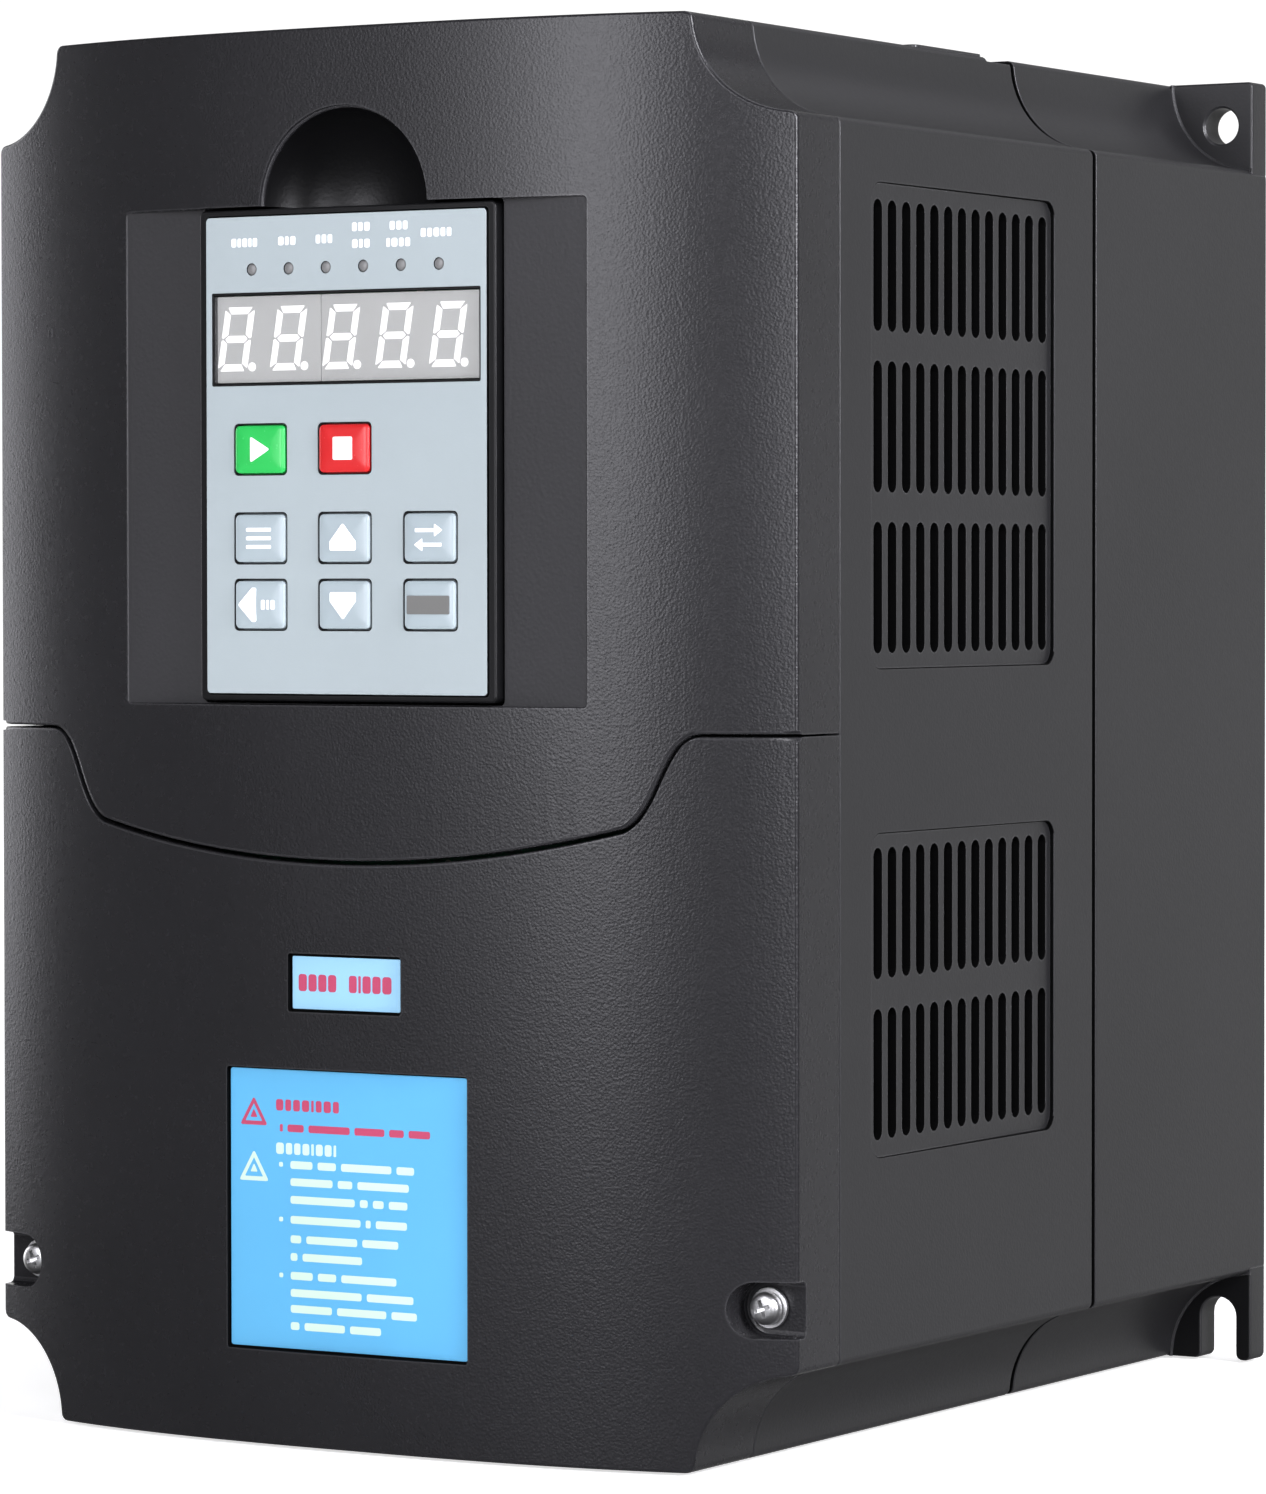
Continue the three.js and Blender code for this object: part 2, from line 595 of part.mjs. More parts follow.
function fanRotor(x) {
  const [low, high] = [FAN.top - FAN.thick + 3.8, FAN.top - 2];
  const blades = [];
  const count = 7;
  for (let i = 0; i < count; i += 1) {
    const blade = new THREE.BoxGeometry(15, 1.4, 17);
    blade.rotateX(0.62).translate(FAN.hub + 6.3, 0, 0);
    blade.rotateZ((2 * Math.PI * i) / count).translate(x, toY(FAN.depth), (low + high) / 2);
    blades.push(solid(blade));
  }
  const hub = post(x, FAN.depth, FAN.hub, low, high);
  const shaft = post(x, FAN.depth, 1.5, low - 3.3, low + 1, 10);
  return join(hub, shaft, ...blades);
}

function grommet(x) {
  const [flange, neck] = [CABLE.hole + 2, CABLE.hole - CLEAR];
  const levels = [0.4, RECESS_Z - CLEAR, RECESS_Z + WALL + CLEAR, RECESS_Z + WALL + 1.8];
  const profile = [
    new THREE.Vector2(CABLE.bore, levels[0]),
    new THREE.Vector2(flange, levels[0]),
    new THREE.Vector2(flange, levels[1]),
    new THREE.Vector2(neck, levels[1]),
    new THREE.Vector2(neck, levels[2]),
    new THREE.Vector2(flange - 0.8, levels[2]),
    new THREE.Vector2(flange - 0.8, levels[3]),
    new THREE.Vector2(CABLE.bore, levels[3]),
    new THREE.Vector2(CABLE.bore, levels[0]),
  ];
  const ring = new THREE.LatheGeometry(profile, 16).rotateX(Math.PI / 2);
  return solid(ring.translate(x, toY(CABLE.depth), 0));
}

function capacitor(x) {
  const { z, radius, length } = CAPACITOR;
  const base = POWER_BOARD_DEPTH + BOARD + CLEAR;
  return join(rod(x, z, radius, base + 2, base + length, 24), rod(x, z, radius - 0.7, base, base + 3, 24));
}

// A barrier strip: open bays on the front and below, each with its clamp screw.
function powerTerminals() {
  const base = POWER_BOARD_DEPTH + BOARD + CLEAR;
  const { low, high, count, pitch } = POWER_TERMINALS;
  const half = (count * pitch) / 2 + 1;
  const floor = base + POWER_TERMINALS.floor;
  const front = base + POWER_TERMINALS.front;
  const strip = box(-half, half, base, front, low, high);
  const bays = [];
  const screws = [];
  for (let i = 0; i < count; i += 1) {
    const x = (i - (count - 1) / 2) * pitch;
    bays.push(box(x - 5.8, x + 5.8, floor, front + 1, low - 1, high - 3));
    const head = rod(x, 36, 3.6, floor - 1, floor + 3, 8);
    screws.push(head.subtract(box(x - 3, x + 3, floor + 1.8, floor + 4, 35.5, 36.5)));
  }
  return join(strip.subtract(join(...bays)), ...screws);
}

function controlTerminals() {
  const base = CONTROL_BOARD_DEPTH + BOARD + CLEAR;
  const { low, high, count, pitch, thick } = CONTROL_TERMINALS;
  const half = (count * pitch) / 2 + 0.8;
  const pits = [];
  for (let i = 0; i < count; i += 1) {
    const x = (i - (count - 1) / 2) * pitch;
    pits.push(box(x - 1.9, x + 1.9, base + 2, base + 6, low - 1, low + 6));
    pits.push(rod(x, 71, 1.7, base + 7.5, base + 12, 6));
  }
  return box(-half, half, base, base + thick, low, high).subtract(join(...pits));
}

function socket() {
  const base = CONTROL_BOARD_DEPTH + BOARD + CLEAR;
  const { half, low, high } = PLUG;
  const outer = box(-half - 1.8, half + 1.8, base, WELL_FLOOR - 0.6, low - 1.8, high + 1.8);
  return outer.subtract(box(-half - 0.4, half + 0.4, 172, WELL_FLOOR, low - 0.4, high + 0.4));
}

function insides() {
  const power = POWER_BOARD_DEPTH;
  const control = CONTROL_BOARD_DEPTH;
  const module = SINK_BASE.front + CLEAR;
  const pieces = [
    mesh("heat_sink", heatSink(), "aluminium"),
    mesh("igbt_module", box(-54, 54, module, module + 15, 58, 104), "black"),
    mesh("rectifier_module", box(-40, 40, module, module + 15, 138, 178), "black"),
    mesh("power_board", box(-76, 76, power, power + BOARD, 24, 222), "board"),
    mesh("power_terminal_block", powerTerminals(), "black"),
    mesh("control_board", box(-54, 54, control, control + BOARD, 62, 205), "board"),
    mesh("control_terminal_block", controlTerminals(), "terminal"),
    mesh("keypad_socket", socket(), "black"),
    mesh("fan_frame_left", fanFrame(-FAN.x), "black"),
    mesh("fan_frame_right", fanFrame(FAN.x), "black"),
    mesh("fan_rotor_left", fanRotor(-FAN.x), "black"),
    mesh("fan_rotor_right", fanRotor(FAN.x), "black"),
    mesh("cable_grommet_left", grommet(-CABLE.pitch), "rubber"),
    mesh("cable_grommet_middle", grommet(0), "rubber"),
    mesh("cable_grommet_right", grommet(CABLE.pitch), "rubber"),
  ];
  for (let i = 0; i < CAPACITOR.count; i += 1) {
    const x = (i - (CAPACITOR.count - 1) / 2) * CAPACITOR.pitch;
    pieces.push(mesh(`bus_capacitor_${i + 1}`, capacitor(x), "aluminium"));
  }
  return pieces;
}

const drive = new THREE.Group();
drive.name = "variable_frequency_drive";
drive.add(...casing(), ...keypad(), ...insides());

export default drive;
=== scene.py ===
import math

import bmesh
import bpy
from mathutils import Matrix, Vector


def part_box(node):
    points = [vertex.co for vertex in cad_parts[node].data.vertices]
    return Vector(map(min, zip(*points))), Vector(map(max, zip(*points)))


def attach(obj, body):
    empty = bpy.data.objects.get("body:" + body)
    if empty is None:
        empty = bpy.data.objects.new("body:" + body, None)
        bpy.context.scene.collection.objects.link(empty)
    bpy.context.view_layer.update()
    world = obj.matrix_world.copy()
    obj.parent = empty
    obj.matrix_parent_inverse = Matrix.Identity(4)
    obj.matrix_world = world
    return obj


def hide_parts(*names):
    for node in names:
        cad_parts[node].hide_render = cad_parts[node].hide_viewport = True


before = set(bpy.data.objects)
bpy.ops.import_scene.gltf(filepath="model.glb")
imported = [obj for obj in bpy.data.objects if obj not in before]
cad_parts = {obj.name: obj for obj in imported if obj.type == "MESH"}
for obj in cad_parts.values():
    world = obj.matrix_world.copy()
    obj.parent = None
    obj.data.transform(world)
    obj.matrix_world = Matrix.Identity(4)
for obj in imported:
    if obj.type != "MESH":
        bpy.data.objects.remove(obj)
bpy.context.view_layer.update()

# ---------------------------------------------------------------- sizes
# Millimetres. A depth is a distance forward from the mounting face; world_point turns one into metres.

MM = 0.001
_low, _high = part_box("rear_housing")
WIDTH = round((_high.x - _low.x) / MM, 3)
HEIGHT = round((_high.z - _low.z) / MM, 3)
BACK_Y = _high.y
DEPTH = round((BACK_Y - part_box("upper_cover")[0].y) / MM, 3)


def depth_span(node):
    """How far a CAD node's back and front are from the mounting face."""
    low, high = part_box(node)
    return round((BACK_Y - high.y) / MM, 3), round((BACK_Y - low.y) / MM, 3)


REAR_FRONT = depth_span("rear_housing")[1]
MID_BACK, MID_FRONT = depth_span("mid_housing")
COVER_BACK = depth_span("terminal_cover")[0]
HALF = WIDTH / 2
COVE = 17.0
CORNER = 1.5  # small radius where a cove meets a flat side
WALL = 2.5
EDGE_DEPTH = 185.0  # where the crowned front meets the sides
CROWN_POWER = 2.7
SHOULDER_Z = 125.0  # the covers' parting line: level at the sides, a shallow bowl in the middle
BOWL_Z = 102.3
BOWL_RADIUS = 230.0
BOWL_HALF = 54.0
SHOULDER_HALF = 63.6
KEYPAD_HALF, KEYPAD_LOW, KEYPAD_HIGH = 30.7, 130.2, 216.0
KEYPAD_FRONT = 196.9
FACE_HALF, FACE_LOW, FACE_HIGH, FACE_FRONT = 29.0, 131.5, 214.7, 197.3
POCKET_HALF, POCKET_LOW, POCKET_HIGH, POCKET_FLOOR = 47.8, 129.5, 216.4, 194.9
SCOOP_RADIUS, SCOOP_DEEP, SCOOP_LIP = 17.0, 13.0, 0.35
WINDOW_HALF, WINDOW_LOW, WINDOW_HIGH = 27.3, 185.8, 200.9
DIGIT_PITCH = 11.0
DIGIT_LEAN = math.tan(math.radians(9.3))
LAMP_PITCH, LAMP_Z, LAMP_RADIUS = 7.76, 205.5, 1.05
KEY_WIDTH, KEY_HEIGHT, KEY_PITCH = 10.4, 8.3, 17.6
KEY_ROWS = (174.1, 158.6, 147.0)
EAR_THICK = 6.5
SEAM = 0.4  # half of the groove between the two housings
EAR_X, EAR_Z, EAR_HOLE = 76.4, 238.7, 3.5
EAR_NEAR = 64.5
LUG_X, LUG_TOP, LUG_RADIUS = 76.1, 12.1, 3.7
SCREW_X, SCREW_Z, SCREW_FLOOR, SCREW_RECESS = 76.2, 28.0, 182.0, 4.8
TAB_SCREW_X, TAB_SCREW_Z = 60, 100.5
SLOT_WIDTH, SLOT_HEIGHT, SLOT_PITCH, SLOT_COUNT, SLOT_FIRST = 3.1, 22.6, 5.26, 13, 156.7
SLOT_ROWS = (205.3, 177.6, 149.9, 93.8, 66.0)
VENT_PANELS = ((136.0, 219.4), (51.7, 107.5))
VENT_REAR, VENT_FRONT, VENT_SINK = 90.2, 159.0, 0.8
NOTICE_HALF, NOTICE_LOW, NOTICE_HIGH = 24.6, 17.0, 65.8
RATING_HALF, RATING_LOW, RATING_HIGH = 11.2, 76.6, 85.8
ENTRY_DEPTH = 135
ENTRIES = {"left": -40, "middle": 0, "right": 40}
SIDES = ((-1, "left"), (1, "right"))
BOARD_FRONT = 156.62


def world_point(x, depth, z):
    return Vector((x * MM, BACK_Y - depth * MM, z * MM))


# ---------------------------------------------------------------- mesh tools


def new_object(name, points, faces):
    """A mesh from (x, depth, z) points, with its faces turned outwards."""
    mesh = bpy.data.meshes.new(name)
    mesh.from_pydata([world_point(*p) for p in points], [], faces)
    build = bmesh.new()
    build.from_mesh(mesh)
    bmesh.ops.recalc_face_normals(build, faces=build.faces)
    build.to_mesh(mesh)
    build.free()
    return link_object(name, mesh)


def link_object(name, data):
    made = bpy.data.objects.new(name, data)
    bpy.context.scene.collection.objects.link(made)
    return made


def at_level(outline, level, along="depth"):
    """Points of an outline at a level: its pairs are (x, z) along the depth, and (x, depth) along z."""
    if along == "depth":
        return [(a, level, b) for a, b in outline]
    return [(a, b, level) for a, b in outline]


def loft(name, loops, ring=False):
    """Skins loops that all have the same number of points, with caps at both ends unless it is a ring."""
    count = len(loops[0])
    points = [p for loop in loops for p in loop]
    faces = []
    for i in range(len(loops) if ring else len(loops) - 1):
        a, b = i * count, ((i + 1) % len(loops)) * count
        for j in range(count):
            k = (j + 1) % count
            faces.append((a + j, a + k, b + k, b + j))
    if not ring:
        faces.append(tuple(range(count)))
        faces.append(tuple(range((len(loops) - 1) * count, len(loops) * count)))
    return new_object(name, points, faces)


def on_circle(cx, cy, radius, turn):
    return cx + radius * math.cos(turn), cy + radius * math.sin(turn)


def arc(cx, cy, radius, start, end, steps):
    """Points on an arc, angles in degrees, both ends included."""
    turns = [math.radians(start + (end - start) * i / steps) for i in range(steps + 1)]
    return [on_circle(cx, cy, radius, turn) for turn in turns]


def quarter_turns(steps):
    """Angles from 0 to a right angle, both ends included."""
    return [math.pi / 2 * i / steps for i in range(steps + 1)]


def rounded_rectangle(x0, x1, y0, y1, radius, steps=5):
    radius = max(radius, 0.01)
    left, right, low, high = x0 + radius, x1 - radius, y0 + radius, y1 - radius
    out = []
    for i, centre in enumerate(((right, low), (right, high), (left, high), (left, low))):
        out += arc(*centre, radius, 90 * i - 90, 90 * i, steps)
    return out


def edge_steps(back, front, edge, steps=3):
    """(inset, level) pairs that round both ends of a block."""
    turns = quarter_turns(steps)
    rear = [(edge * (1 - math.sin(turn)), back + edge * (1 - math.cos(turn))) for turn in turns]
    return rear + [(edge * (1 - math.cos(turn)), front - edge * (1 - math.sin(turn))) for turn in turns]


def block(name, x0, x1, d0, d1, z0, z1, corner=0.5, edge=0.3, along="depth"):
    """A box with rounded corners and edges; its round outline lies across the named direction."""
    (b0, b1), ends = ((z0, z1), (d0, d1)) if along == "depth" else ((d0, d1), (z0, z1))
    loops = []
    for inset, level in edge_steps(*ends, edge):
        outline = rounded_rectangle(x0 + inset, x1 - inset, b0 + inset, b1 - inset, corner - inset)
        loops.append(at_level(outline, level, along))
    return loft(name, loops)


def lathe(name, profile, x, other, along="depth", steps=48):
    """Turns (radius, level) pairs about a line through (x, other); the ends close on the axis."""
    points, faces, rings = [], [], []
    for radius, level in profile:
        if radius < 1e-6:
            rings.append([len(points)] * steps)
            points += at_level([(x, other)], level, along)
        else:
            rings.append(range(len(points), len(points) + steps))
            circle = [on_circle(x, other, radius, 2 * math.pi * i / steps) for i in range(steps)]
            points += at_level(circle, level, along)
    for lower, upper in zip(rings, rings[1:]):
        for i in range(steps):
            k = (i + 1) % steps
            face = tuple(dict.fromkeys((lower[i], lower[k], upper[k], upper[i])))
            if len(face) > 2:
                faces.append(face)
    return new_object(name, points, faces)


def rod(name, radius, low, high, x, other, along="depth", steps=48):
    return lathe(name, [(0, low), (radius, low), (radius, high), (0, high)], x, other, along, steps)


def ring_lathe(name, profile, x, other, along="depth", steps=48):
    """Turns a closed (radius, level) profile about a line through (x, other)."""
    loops = []
    for i in range(steps):
        loop = []
        for radius, level in profile:
            loop += at_level([on_circle(x, other, radius, 2 * math.pi * i / steps)], level, along)
        loops.append(loop)
    return loft(name, loops, ring=True)


def keep_result(piece):
    """Replaces a piece's mesh by what its modifiers make of it."""
    bpy.context.view_layer.update()
    graph = bpy.context.evaluated_depsgraph_get()
    made = bpy.data.meshes.new_from_object(piece.evaluated_get(graph))
    piece.modifiers.clear()
    piece.data = made
    return piece


def combine(target, tool, operation="DIFFERENCE"):
    """Cuts, joins or keeps the overlap of two closed meshes, and removes the tool."""
    modifier = target.modifiers.new("combine", "BOOLEAN")
    modifier.operation = operation
    modifier.object = tool
    modifier.solver = "MANIFOLD"
    keep_result(target)
    bpy.data.objects.remove(tool)
    return target


def bevel(piece, width, segments, angle):
    modifier = piece.modifiers.new("bevel", "BEVEL")
    modifier.width = width * MM
    modifier.segments = segments
    modifier.limit_method = "ANGLE"
    modifier.angle_limit = math.radians(angle)
    return keep_result(piece)


def merge(name, pieces):
    """One object from several meshes that don't need joining."""
    build = bmesh.new()
    for piece in pieces:
        build.from_mesh(piece.data)
    mesh = bpy.data.meshes.new(name)
    build.to_mesh(mesh)
    build.free()
    for piece in pieces:
        bpy.data.objects.remove(piece)
    return link_object(name, mesh)


def duplicate(piece, name):
    return link_object(name, piece.data.copy())


def smooth(piece):
    """Soft shading that the large faces lead, so that a flat wall stays flat beside its rounded edges."""
    piece.data.shade_smooth()
    piece.data.set_sharp_from_angle(angle=math.radians(32))
    modifier = piece.modifiers.new("weigh", "WEIGHTED_NORMAL")
    modifier.mode = "FACE_AREA"
    modifier.weight = 50
    modifier.keep_sharp = True
    return keep_result(piece)


def finish_piece(piece, name, material, slot, body, *stands_for):
    """Names a piece, dresses it and says which body it rides on and which CAD nodes it stands for."""
    smooth(piece)
    piece.name = name
    piece.data.name = name
    piece.data.materials.clear()
    piece.data.materials.append(material)
    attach(piece, body)
    if stands_for:
        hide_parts(*stands_for)
    return piece


def dress_faces(piece, material, picks):
    """Gives the faces that a test of (normal, depth, x, z) picks a further material."""
    piece.data.materials.append(material)
    index = len(piece.data.materials) - 1
    for face in piece.data.polygons:
        x, y, z = face.center / MM
        if picks(face.normal, BACK_Y / MM - y, x, z):
            face.material_index = index


# ---------------------------------------------------------------- materials


def feed(graph, target, feeds):
    """Sets a node's inputs, each to a value or to the output that drives it."""
    for key, value in feeds.items():
        if isinstance(value, bpy.types.NodeSocket):
            graph.links.new(value, target.inputs[key])
        else:
            target.inputs[key].default_value = value


def node(graph, kind, feeds, **settings):
    made = graph.nodes.new(kind)
    for key, value in settings.items():
        setattr(made, key, value)
    feed(graph, made, feeds)
    return made


def shader(name):
    """A new material, its node tree, its main shader and the object's own coordinates."""
    material = bpy.data.materials.new(name)
    material.use_nodes = True
    graph = material.node_tree
    place = node(graph, "ShaderNodeTexCoord", {}).outputs["Object"]
    return material, graph, graph.nodes["Principled BSDF"], place


def ramp_between(graph, factor, low, high, start=0.35, end=0.65):
    """A colour ramp from low to high, driven by a factor."""
    ramp = node(graph, "ShaderNodeValToRGB", {"Fac": factor})
    for element, position, colour in zip(ramp.color_ramp.elements, (start, end), (low, high)):
        element.position = position
        element.color = (*colour, 1)
    return ramp.outputs["Color"]


def fade(graph, value, low, high, start=0.0, end=1.0, curve="SMOOTHSTEP"):
    """Runs from low to high as the value goes from start to end."""
    feeds = {"Value": value, "From Min": start, "From Max": end, "To Min": low, "To Max": high}
    return node(graph, "ShaderNodeMapRange", feeds, interpolation_type=curve).outputs["Result"]


def spread(graph, factor, low, high):
    """Maps a 0 to 1 factor evenly to a range of values."""
    return fade(graph, factor, low, high, curve="LINEAR")


def maths(graph, operation, *values):
    return node(graph, "ShaderNodeMath", dict(enumerate(values)), operation=operation).outputs["Value"]


def vector_maths(graph, operation, *values):
    made = node(graph, "ShaderNodeVectorMath", dict(enumerate(values)), operation=operation)
    return made.outputs["Value"]


def blend(graph, kind, factor, a, b):
    feeds = {"Factor": factor, "A": a, "B": b}
    return node(graph, "ShaderNodeMix", feeds, data_type=kind).outputs["Result"]


def noise(graph, place, scale, detail, roughness=0.5):
    feeds = {"Vector": place, "Scale": scale, "Detail": detail, "Roughness": roughness}
    return node(graph, "ShaderNodeTexNoise", feeds).outputs["Fac"]


def bump(graph, bsdf, height, distance):
    made = node(graph, "ShaderNodeBump", {"Strength": 1.0, "Distance": distance * MM, "Height": height})
    graph.links.new(made.outputs["Normal"], bsdf.inputs["Normal"])


def edge_mask(graph, reach):
    """Rises from 0 to 1 at the edges, where a softened normal leaves the true one."""
    soft = node(graph, "ShaderNodeBevel", {"Radius": reach * MM}, samples=4).outputs["Normal"]
    bare = node(graph, "ShaderNodeNewGeometry", {}).outputs["True Normal"]
    return fade(graph, vector_maths(graph, "DOT_PRODUCT", soft, bare), 0.0, 1.0, 0.995, 0.93)


def plastic(name, colour, rough, tint=0.12, grain=0.0, grain_size=0.7, specular=0.5, wear_and_highlight=0.0):
    """Moulded plastic: slow colour and gloss variation, a fine grain and edges rubbed lighter, partly by wear
    and partly as a painted highlight line.
    """
    material, graph, bsdf, place = shader(name)
    drift = noise(graph, place, 14.0, 4.0, 0.55)
    fine = noise(graph, place, 900.0, 2.0, 0.6)
    dark = tuple(c * (1 - tint) for c in colour)
    light = tuple(min(1, c * (1 + tint)) for c in colour)
    tone = ramp_between(graph, drift, dark, light)
    gloss = spread(graph, fine, *rough)
    if wear_and_highlight > 0:
        # Painted highlight and wear: the edge mask lightens the colour along the edges, partly rubbed wear
        # and partly a painted highlight line.
        rubbed_and_highlit = maths(graph, "MULTIPLY", edge_mask(graph, 0.5), spread(graph, drift, 0, 2 * wear_and_highlight))
        worn_and_highlit_colour = (*(min(1, c * 1.6 + 0.02) for c in colour), 1)
        tone = blend(graph, "RGBA", rubbed_and_highlit, tone, worn_and_highlit_colour)
        gloss = blend(graph, "FLOAT", rubbed_and_highlit, gloss, 0.14)
    feed(graph, bsdf, {"Base Color": tone, "Roughness": gloss, "Specular IOR Level": specular})
    if grain > 0:
        scale = 1.0 / (grain_size * MM)
        feeds = {"Vector": place, "Scale": scale, "Randomness": 1.0, "Smoothness": 0.6}
        cells = node(graph, "ShaderNodeTexVoronoi", feeds, feature="SMOOTH_F1").outputs["Distance"]
        warp = noise(graph, place, 1.6 / (grain_size * MM), 2.0)
        bump(graph, bsdf, maths(graph, "MULTIPLY_ADD", warp, 0.6, cells), grain)
    else:
        bump(graph, bsdf, fine, 0.004)
    return material


def metal(name, colour, rough, streak=(1.0, 1.0, 30.0), depth=0.002):
    """Bare or plated metal with fine drawn streaks and slightly uneven gloss."""
    material, graph, bsdf, place = shader(name)
    stretched = node(graph, "ShaderNodeMapping", {"Vector": place, "Scale": streak}).outputs["Vector"]
    lines = noise(graph, stretched, 260.0, 4.0, 0.7)
    tone = ramp_between(graph, lines, tuple(c * 0.82 for c in colour), colour)
    feed(graph, bsdf, {"Base Color": tone, "Roughness": spread(graph, lines, *rough), "Metallic": 1.0})
    bump(graph, bsdf, lines, depth)
    return material


def circuit_board(name):
    """Green solder mask over copper tracks, with small bright pads."""
    material, graph, bsdf, place = shader(name)
    turned = node(graph, "ShaderNodeMapping", {"Vector": place, "Rotation": (math.pi / 2, 0, 0)})
    feeds = {"Vector": turned.outputs["Vector"], "Scale": 120.0, "Mortar Size": 0.03}
    for key, grey in (("Color1", 0), ("Color2", 0.25), ("Mortar", 1)):
        feeds[key] = (grey, grey, grey, 1)
    tracks = node(graph, "ShaderNodeTexBrick", feeds, offset=0.37)
    greens = ((0.006, 0.075, 0.035), (0.012, 0.13, 0.055))
    colour = ramp_between(graph, tracks.outputs["Color"], *greens, 0.1, 0.9)
    dots = node(graph, "ShaderNodeTexVoronoi", {"Vector": place, "Scale": 160.0, "Randomness": 0.85})
    pads = maths(graph, "LESS_THAN", dots.outputs["Distance"], 0.14)
    tone = blend(graph, "RGBA", pads, colour, (0.45, 0.42, 0.34, 1))
    gloss = spread(graph, tracks.outputs["Fac"], 0.32, 0.22)
    feed(graph, bsdf, {"Base Color": tone, "Roughness": gloss})
    bump(graph, bsdf, tracks.outputs["Fac"], 0.02)
    return material


CASING = plastic(
    "casing_plastic", (0.0120, 0.0118, 0.0132), (0.23, 0.30), 0.1,
    grain=0.027, grain_size=0.48, specular=0.4, wear_and_highlight=0.9,
)
CASING_SIDE = plastic(
    "casing_plastic_side", (0.0128, 0.0127, 0.0138), (0.38, 0.46), 0.07,
    grain=0.014, grain_size=0.6, specular=0.44, wear_and_highlight=0.9,
)
# Darker and lighter casing plastic for places where the studio light alone misses the photo's shade.
# Painted shade: a near-black copy for the slot walls, the label gaps and the joint between the housings.
PAINTED_SHADE_PLASTIC = plastic("casing_plastic_in_shade", (0.0015, 0.0015, 0.0016), (0.6, 0.7), 0.1, specular=0.06)
# Painted shade: a darker copy for the scoop's bowl and the lower lugs' front faces.
PAINTED_SHADE_HOLLOW_PLASTIC = plastic("casing_plastic_painted_shade_hollow", (0.003, 0.003, 0.0034), (0.36, 0.44), grain=0.02, specular=0.4)
# Painted light: a lighter copy for the floor of the pocket round the keypad.
PAINTED_LIGHT_POCKET_PLASTIC = plastic("casing_plastic_painted_light_pocket", (0.018, 0.0177, 0.0196), (0.42, 0.5), grain=0.02, specular=0.45)
BLACK = plastic("keypad_black_plastic", (0.004, 0.004, 0.0045), (0.28, 0.38), 0.2, specular=0.25, wear_and_highlight=0.3)
FACEPLATE = plastic("faceplate_film", (0.305, 0.352, 0.368), (0.38, 0.46), 0.04, grain=0.006, grain_size=0.35)
DISPLAY = plastic("display_face", (0.33, 0.335, 0.325), (0.3, 0.4), 0.06)
SEGMENT = plastic("display_segment", (0.93, 0.92, 0.89), (0.4, 0.5), 0.03)
LAMP_LENS = plastic("lamp_lens", (0.16, 0.16, 0.16), (0.25, 0.35), 0.1)
KEY_GREEN = plastic("key_green_plastic", (0.020, 0.41, 0.075), (0.22, 0.3), 0.1, wear_and_highlight=0.3)
KEY_RED = plastic("key_red_plastic", (0.50, 0.014, 0.016), (0.22, 0.3), 0.1, wear_and_highlight=0.3)
KEY_GREY = plastic("key_grey_plastic", (0.305, 0.36, 0.385), (0.2, 0.28), 0.08, wear_and_highlight=0.3)
LABEL_BLUE = plastic("label_blue_film", (0.082, 0.36, 0.62), (0.35, 0.45), 0.05)
LABEL_PALE = plastic("label_pale_film", (0.25, 0.49, 0.68), (0.35, 0.45), 0.05)
PRINT_WHITE = plastic("print_white", (0.85, 0.87, 0.88), (0.4, 0.5), 0.03)
PRINT_GREY = plastic("print_grey", (0.13, 0.13, 0.125), (0.4, 0.5), 0.03)
PRINT_RED = plastic("print_red", (0.42, 0.04, 0.105), (0.4, 0.5), 0.06)
PRINT_CREAM = plastic("print_cream", (0.50, 0.66, 0.56), (0.4, 0.5), 0.05)
SCREW_METAL = metal("nickel_plate", (0.86, 0.86, 0.86), (0.3, 0.45))
SINK_METAL = metal("extruded_aluminium", (0.66, 0.67, 0.69), (0.32, 0.5), (30.0, 30.0, 1.0), 0.01)
FAN_BLACK = plastic(
    "fan_black_plastic", (0.012, 0.012, 0.013), (0.35, 0.5), 0.15,
    grain=0.008, grain_size=0.5,
)
TERMINAL_GREEN = plastic("terminal_green_plastic", (0.02, 0.22, 0.09), (0.35, 0.45), 0.1)
CAN_SLEEVE = plastic("capacitor_sleeve", (0.015, 0.02, 0.045), (0.3, 0.4), 0.1)
MODULE = plastic("module_resin", (0.02, 0.02, 0.022), (0.5, 0.65), 0.1, grain=0.01, grain_size=0.5)
RUBBER = plastic("grommet_rubber", (0.012, 0.012, 0.012), (0.7, 0.85), grain=0.01, grain_size=0.4)
CLEAR = plastic("window_film", (0.5, 0.5, 0.5), (0.08, 0.14), 0.02)
CLEAR.node_tree.nodes["Principled BSDF"].inputs["Alpha"].default_value = 0.06
BOARD_GREEN = circuit_board("solder_mask")

# ---------------------------------------------------------------- casing outlines


def mirrored(outline):
    """The same outline on the left, run backwards so that it still goes the same way round."""
    return [(-x, z) for x, z in reversed(outline)]


